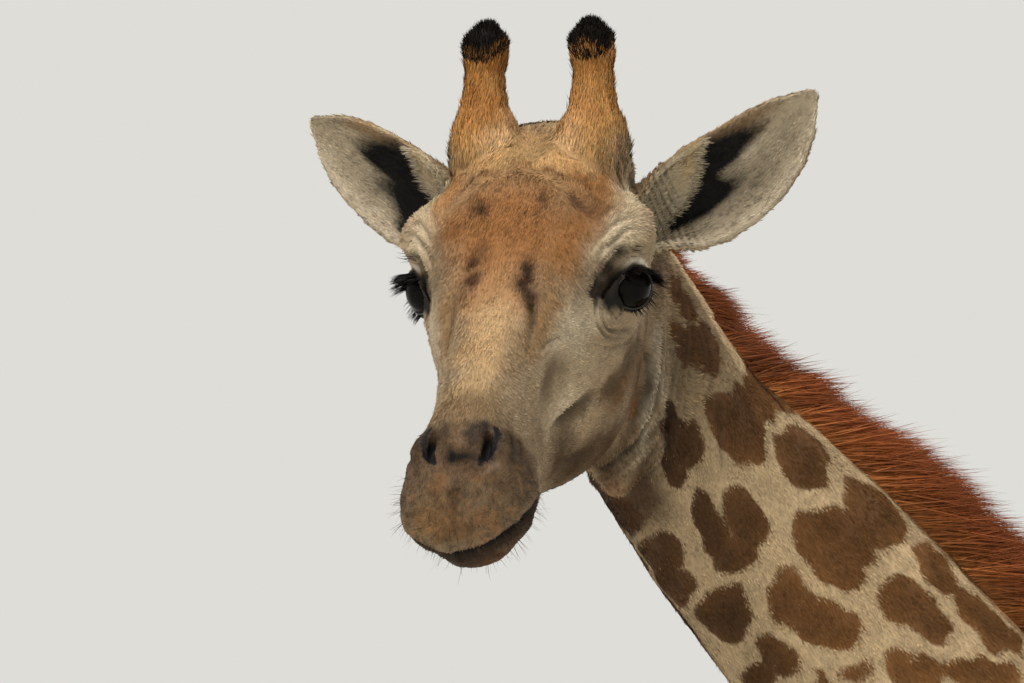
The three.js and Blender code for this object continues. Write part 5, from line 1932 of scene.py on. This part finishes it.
class GIRAFFE_OT_long_hair(bpy.types.Operator):
    """Add the horns' black tufts, the ears' fringes, the lashes, the whiskers and the tail's tuft"""

    bl_idname = "giraffe.long_hair"
    bl_label = "Long hair"

    def execute(self, context):
        hair = settings("hair")
        skin = read_skin()
        random = np.random.default_rng(47)
        black, fringe = colour(hair.black), colour(hair.fringe)
        coarse = hair_material("Coarse black hair", 0.42, 0.005, 0.8, 1.25)
        pale = hair_material("Pale ear fringe", 0.5, 0.005, 0.85, 1.05)
        head = to_head(skin["points"])
        for side, name in SIDE_NAMES.items():
            self.horn(skin, head, side, name, black, coarse, random)
            self.ear(skin, head, side, name, fringe, pale, random)
            self.lashes(side, name, black, coarse, random)
        self.whiskers(skin, head, black, coarse, random)
        self.tail(black, coarse, random)
        return {"FINISHED"}

    def horn(self, skin, head, side, name, black, material, random):
        """The black tuft round one horn's top."""
        node = "ossicone_" + name
        mine = (skin["part"] == FLESH.index(node)) & (head[:, 2] - 0.1 * head[:, 1] > HORN_BLACK)
        found = random.choice(np.flatnonzero(mine), HORN_HAIRS)
        root, normal = skin["points"][found], skin["normals"][found]
        top = ease(head[found, 2], 185, 218)[:, None]
        up = np.array([0.04 * side, 0.35, 0.93]) @ HEAD_AXES
        direction = unit(up * (0.7 + 0.3 * top) + normal * 0.5 + random.normal(0, 0.1, (len(found), 3)))
        length = random.uniform(0.008, 0.014, len(found)) * (1.1 - 0.35 * top[:, 0])
        bend = random.normal(0, 0.09, (len(found), 3))
        width = random.uniform(0.0007, 0.0013, len(found))
        root = root - normal * 0.001
        hairs("horn_tuft", "_" + name, node, root, direction, bend, length, width, black, material)

    def ear(self, skin, head, side, name, fringe, material, random):
        """The fringe of pale hairs from the ear's rolled upper edge over its dark hollow."""
        node = "ear_" + name
        mine = places_on(skin["part"], node)
        share, over, inner, along = ear_place(head[mine], side)
        start = np.interp(over, EAR_BAND[side][0], EAR_BAND[side][1]) - 0.01
        edge = (inner > 0.5) & (np.abs(share - start) < 0.02) & (over > -0.4)
        found = random.choice(np.flatnonzero(edge), EAR_HAIRS)
        root, normal = skin["points"][mine[found]], skin["normals"][mine[found]]
        out = along[found] @ HEAD_AXES
        down = np.array([0, -0.2, -1.0]) @ HEAD_AXES
        direction = unit(out * 0.85 + down * 0.25 + normal * 0.3 + random.normal(0, 0.12, (len(found), 3)))
        length = random.uniform(0.003, 0.010, len(found))
        bend = random.normal(0, 0.06, (len(found), 3))
        width = random.uniform(0.0005, 0.0008, len(found))
        hairs("ear_fringe", "_" + name, node, root, direction, bend, length, width, fringe, material)

    def lashes(self, side, name, black, material, random):
        """The upper and lower lashes and the few stiff hairs over the brow of one eye."""
        radius = settings("skin").eye_radius / MM
        roots, directions, bends, reaches = [], [], [], []
        centre, gaze, _, _ = eye_frame(side)
        line, lean, ahead = opening_line(side, LASH_PLACES, radius + 2.0, 2.5)
        for k in random.permutation(len(line)):
            upper = lean[k] > 0.05 and ahead[k] < 0.55
            lower = lean[k] < -0.3 and ahead[k] < 0.5
            for _ in range(3 if upper else 1 if lower and random.uniform() < 0.5 else 0):
                out = unit(line[k] - centre)
                if upper:
                    way = unit(gaze + 0.25 * out + np.array([0, 0, -0.12]))
                    reach = random.uniform(13, 23) * (0.7 + 0.3 * ease(-ahead[k], -0.5, 0.3))
                    curl = np.array([0.05 * side, 0.02, -0.08])
                else:
                    way = unit(0.5 * gaze + 0.5 * out + np.array([0, 0, -0.4]))
                    reach = random.uniform(6, 12)
                    curl = np.array([0.05 * side, 0, -0.15])
                roots.append(line[k] + random.normal(0, 0.6, 3))
                directions.append(unit(way + random.normal(0, 0.09, 3)))
                bends.append(curl + random.normal(0, 0.05, 3))
                reaches.append(reach * MM)
        for _ in range(BROW_HAIRS):
            roots.append(np.array([122 * side, -18, 57]) + random.normal(0, 3.5, 3) * (1, 1.6, 0.6))
            directions.append(unit(np.array([side, -0.35, 0.25]) + random.normal(0, 0.15, 3)))
            bends.append(random.normal(0, 0.08, 3))
            reaches.append(random.uniform(8, 15) * MM)
        width = np.full(len(roots), 0.0008)
        root, direction = from_head(np.array(roots)), np.array(directions) @ HEAD_AXES
        bend, length = np.array(bends) @ HEAD_AXES, np.array(reaches)
        hairs("lashes", "_" + name, "head", root, direction, bend, length, width, black, material)

    def whiskers(self, skin, head, black, material, random):
        """Fine stiff hairs round the lips and the chin."""
        normals = skin["normals"] @ HEAD_AXES.T
        _, y, z = head.T
        mouth = (y < -300) & (normals[:, 2] < 0.5)
        places = (
            (CHIN_WHISKERS, mouth & (z < -84)),
            (LIP_WHISKERS, mouth & (z > -84) & (z < -50)),
            (NOSE_WHISKERS, (y < -330) & (z < -10) & (z > -50)),
        )
        found = np.concatenate([random.choice(np.flatnonzero(mine), count) for count, mine in places])
        root, normal = skin["points"][found], skin["normals"][found]
        direction = unit(normal + np.array([0, 0, -0.4]) + random.normal(0, 0.2, (len(found), 3)))
        length = random.uniform(0.009, 0.021, len(found))
        bend = random.normal(0, 0.1, (len(found), 3)) + np.array([0, 0, -0.06])
        width = np.full(len(found), 0.0004)
        hairs("whiskers", "", "head", root, direction, bend, length, width, black, material)

    def tail(self, black, material, random):
        """The tail's long tuft, hanging from its end."""
        low, high = (np.array(c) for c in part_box("tail_tuft"))
        count = int(TAIL_LOCKS * (1))
        centre = (low + high) / 2
        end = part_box("tail")[0][2]
        start = max(end, high[2]) + 0.035
        height = start - random.uniform(0, 1, count) ** 1.4 * (start - low[2]) * 0.55
        angle = random.uniform(0, 2 * math.pi, count)
        radius = np.where(height > end - 0.005, 0.015, 0.012 * np.sqrt(random.uniform(0, 1, count)))
        out = np.stack([np.cos(angle), np.sin(angle), np.zeros(count)], axis=1)
        root = (centre[0], centre[1], 0) + out * radius[:, None]
        root[:, 2] = height
        hang = out * random.uniform(0.0, 0.16, count)[:, None] + np.array([0, 0, -1.0])
        direction = unit(hang + random.normal(0, 0.03, (count, 3)))
        length = np.minimum(random.uniform(0.14, 0.34, count), height - low[2])
        bend = -out * 0.05 + random.normal(0, 0.03, (count, 3))
        width = random.uniform(0.0016, 0.003, count)
        piece = hairs("tail_tuft_hair", "", "tail", root, direction, bend, length, width, black, material)
        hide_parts("tail_tuft")


# Hooves and stage


def hoof_material():
    """Horn of the hoof: hard and slightly shiny, with growth rings round it and scuffs near the ground."""
    material, tree = new_material("Hoof horn", 0.45, 1.54, {"Specular IOR Level": 0.4})
    place = add_node(tree, "ShaderNodeTexCoord").outputs["Object"]
    # Growth rings about 12 mm apart up the hoof.
    kept = {"bands_direction": "Z", "Scale": 26.0, "Distortion": 2.5, "Detail": 2.0}
    rings = add_node(tree, "ShaderNodeTexWave", kept, {"Vector": place})
    # Vertical fibres about 1.5 mm wide.
    squeeze = add_node(tree, "ShaderNodeMapping", {"Scale": (600, 600, 25)}, {"Vector": place})
    fibres = noise(tree, 1.0, 3.0, squeeze.outputs[0])
    # Dust over the lowest 30 mm.
    height = add_node(tree, "ShaderNodeSeparateXYZ", None, {0: place})
    dust = remap(tree, height.outputs["Z"], 0.0, 0.03, 0.55, 0.0)
    shade = mixed(tree, dust, mixed(tree, fibres, "#2b241d", "#5c4c3b"), "#85745d")
    wear = remap(tree, fibres, 0.0, 1.0, 0.38, 0.62)
    ringed = bumped(tree, rings.outputs["Fac"], 0.35, 0.0012)
    normal = bumped(tree, fibres, 0.3, 0.0006, ringed)
    return finished(material, {"Base Color": shade, "Roughness": wear, "Normal": normal})


class GIRAFFE_OT_hooves(bpy.types.Operator):
    """Give the four hooves their horn"""

    bl_idname = "giraffe.hooves"
    bl_label = "Hooves"

    def execute(self, context):
        horn = hoof_material()
        for name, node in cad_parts.items():
            if name.startswith("hoof"):
                if not node.material_slots:
                    node.data.materials.append(horn)
                for held in node.material_slots:
                    held.material = horn
        return {"FINISHED"}


def add_sun(name, shade):
    """The soft sun, turned towards the place it shines at."""
    lamp = bpy.data.lights.new(name, "SUN")
    lamp.energy = SUN_STRENGTH
    lamp.color = linear(shade)
    lamp.angle = SUN_WIDTH
    held = bpy.data.objects.new(name, lamp)
    bpy.context.scene.collection.objects.link(held)
    held.location = SUN_AT
    held.rotation_euler = (Vector(SUN_AT) - Vector(SUN_AIM)).to_track_quat("Z", "Y").to_euler()


# The floor's side in metres; the camera's turn from straight ahead and its lift, how far its aim is moved
# from the head to its right and down in metres, and its sensor in millimetres.
FLOOR_SIDE = 900
CAMERA_TURN, CAMERA_LIFT = math.radians(68), math.radians(-5)
AIM_LEFT, AIM_DOWN, SENSOR = 0.0224, 0.0527, 36
# The sun's place and the place it shines at, in metres, its strength and how wide it is.
SUN_AT, SUN_AIM, SUN_STRENGTH, SUN_WIDTH = (2, -3, 8), (0.0, -0.2, 1.2), 3.0, math.radians(40)


class GIRAFFE_OT_stage(bpy.types.Operator):
    """Set the pale floor, the soft light and the camera, which looks slightly up at the head"""

    bl_idname = "giraffe.stage"
    bl_label = "Stage"

    def execute(self, context):
        stage = settings("stage")
        scene = context.scene
        scene.view_settings.view_transform = "Standard"
        bpy.ops.mesh.primitive_plane_add(size=FLOOR_SIDE, location=(0, 0, 0))
        floor = context.object
        floor.name = "floor"
        material, tree = new_material("Painted studio floor", 0.9, 1.45, {"Specular IOR Level": 0.1})
        cloud = noise(tree, 1.5, 3.0, add_node(tree, "ShaderNodeTexCoord").outputs["Object"])
        shade = mixed(tree, cloud, colour(stage.floor) * 0.97, colour(stage.floor))
        floor.data.materials.append(finished(material, {"Base Color": shade}))
        world = bpy.data.worlds.new("Overcast sky")
        world.use_nodes = True
        light = world.node_tree.nodes["Background"].inputs
        light["Color"].default_value = (*colour(stage.sky), 1)
        light["Strength"].default_value = 1.0
        scene.world = world
        add_sun("soft_sun", "#fffaf2")
        level = math.cos(CAMERA_LIFT)
        away = (math.sin(CAMERA_TURN) * level, -math.cos(CAMERA_TURN) * level, math.sin(CAMERA_LIFT))
        away = np.array(away)
        right = np.array([math.cos(CAMERA_TURN), math.sin(CAMERA_TURN), 0])
        up = np.cross(away, right)
        aim = HEAD_AT - right * AIM_LEFT - up * AIM_DOWN
        camera = bpy.data.cameras.new("camera")
        camera.sensor_width = SENSOR
        camera.lens = SENSOR * stage.distance / stage.view_width
        camera.clip_end = 1000
        held = bpy.data.objects.new("camera", camera)
        scene.collection.objects.link(held)
        turn = Matrix((right, up, away)).transposed().to_quaternion()
        held.matrix_world = Matrix.LocRotScale(Vector(aim + away * stage.distance), turn, None)
        scene.camera = held
        return {"FINISHED"}


# The add-on


class GIRAFFE_PT_panel(bpy.types.Panel):
    """Lists the giraffe's pieces in the order they are built"""

    bl_idname = "GIRAFFE_PT_panel"
    bl_label = "Giraffe"
    bl_space_type = "VIEW_3D"
    bl_region_type = "UI"
    bl_category = "Giraffe"

    def draw(self, context):
        for operator in OPERATORS:
            self.layout.operator(operator.bl_idname)
        for name, group in GROUPS.items():
            box = self.layout.box()
            box.label(text=name.capitalize())
            for key in group.__annotations__:
                box.prop(getattr(context.scene, "giraffe_" + name), key)


OPERATORS = (
    GIRAFFE_OT_skin,
    GIRAFFE_OT_eyes,
    GIRAFFE_OT_coat,
    GIRAFFE_OT_mane,
    GIRAFFE_OT_long_hair,
    GIRAFFE_OT_hooves,
    GIRAFFE_OT_stage,
)
CLASSES = (*GROUPS.values(), *OPERATORS, GIRAFFE_PT_panel)


def register():
    """Makes Blender know the add-on's classes and gives the scene its groups of sizes and colours."""
    for item in CLASSES:
        bpy.utils.register_class(item)
    for name, group in GROUPS.items():
        setattr(bpy.types.Scene, "giraffe_" + name, PointerProperty(type=group))


def unregister():
    """Undoes register."""
    for name in GROUPS:
        delattr(bpy.types.Scene, "giraffe_" + name)
    for item in reversed(CLASSES):
        bpy.utils.unregister_class(item)


def main():
    """Builds the whole giraffe and its stage."""
    register()
    bpy.ops.giraffe.skin()
    bpy.ops.giraffe.eyes()
    bpy.ops.giraffe.coat()
    bpy.ops.giraffe.mane()
    bpy.ops.giraffe.long_hair()
    bpy.ops.giraffe.hooves()
    bpy.ops.giraffe.stage()


if __name__ == "__main__":
    main()
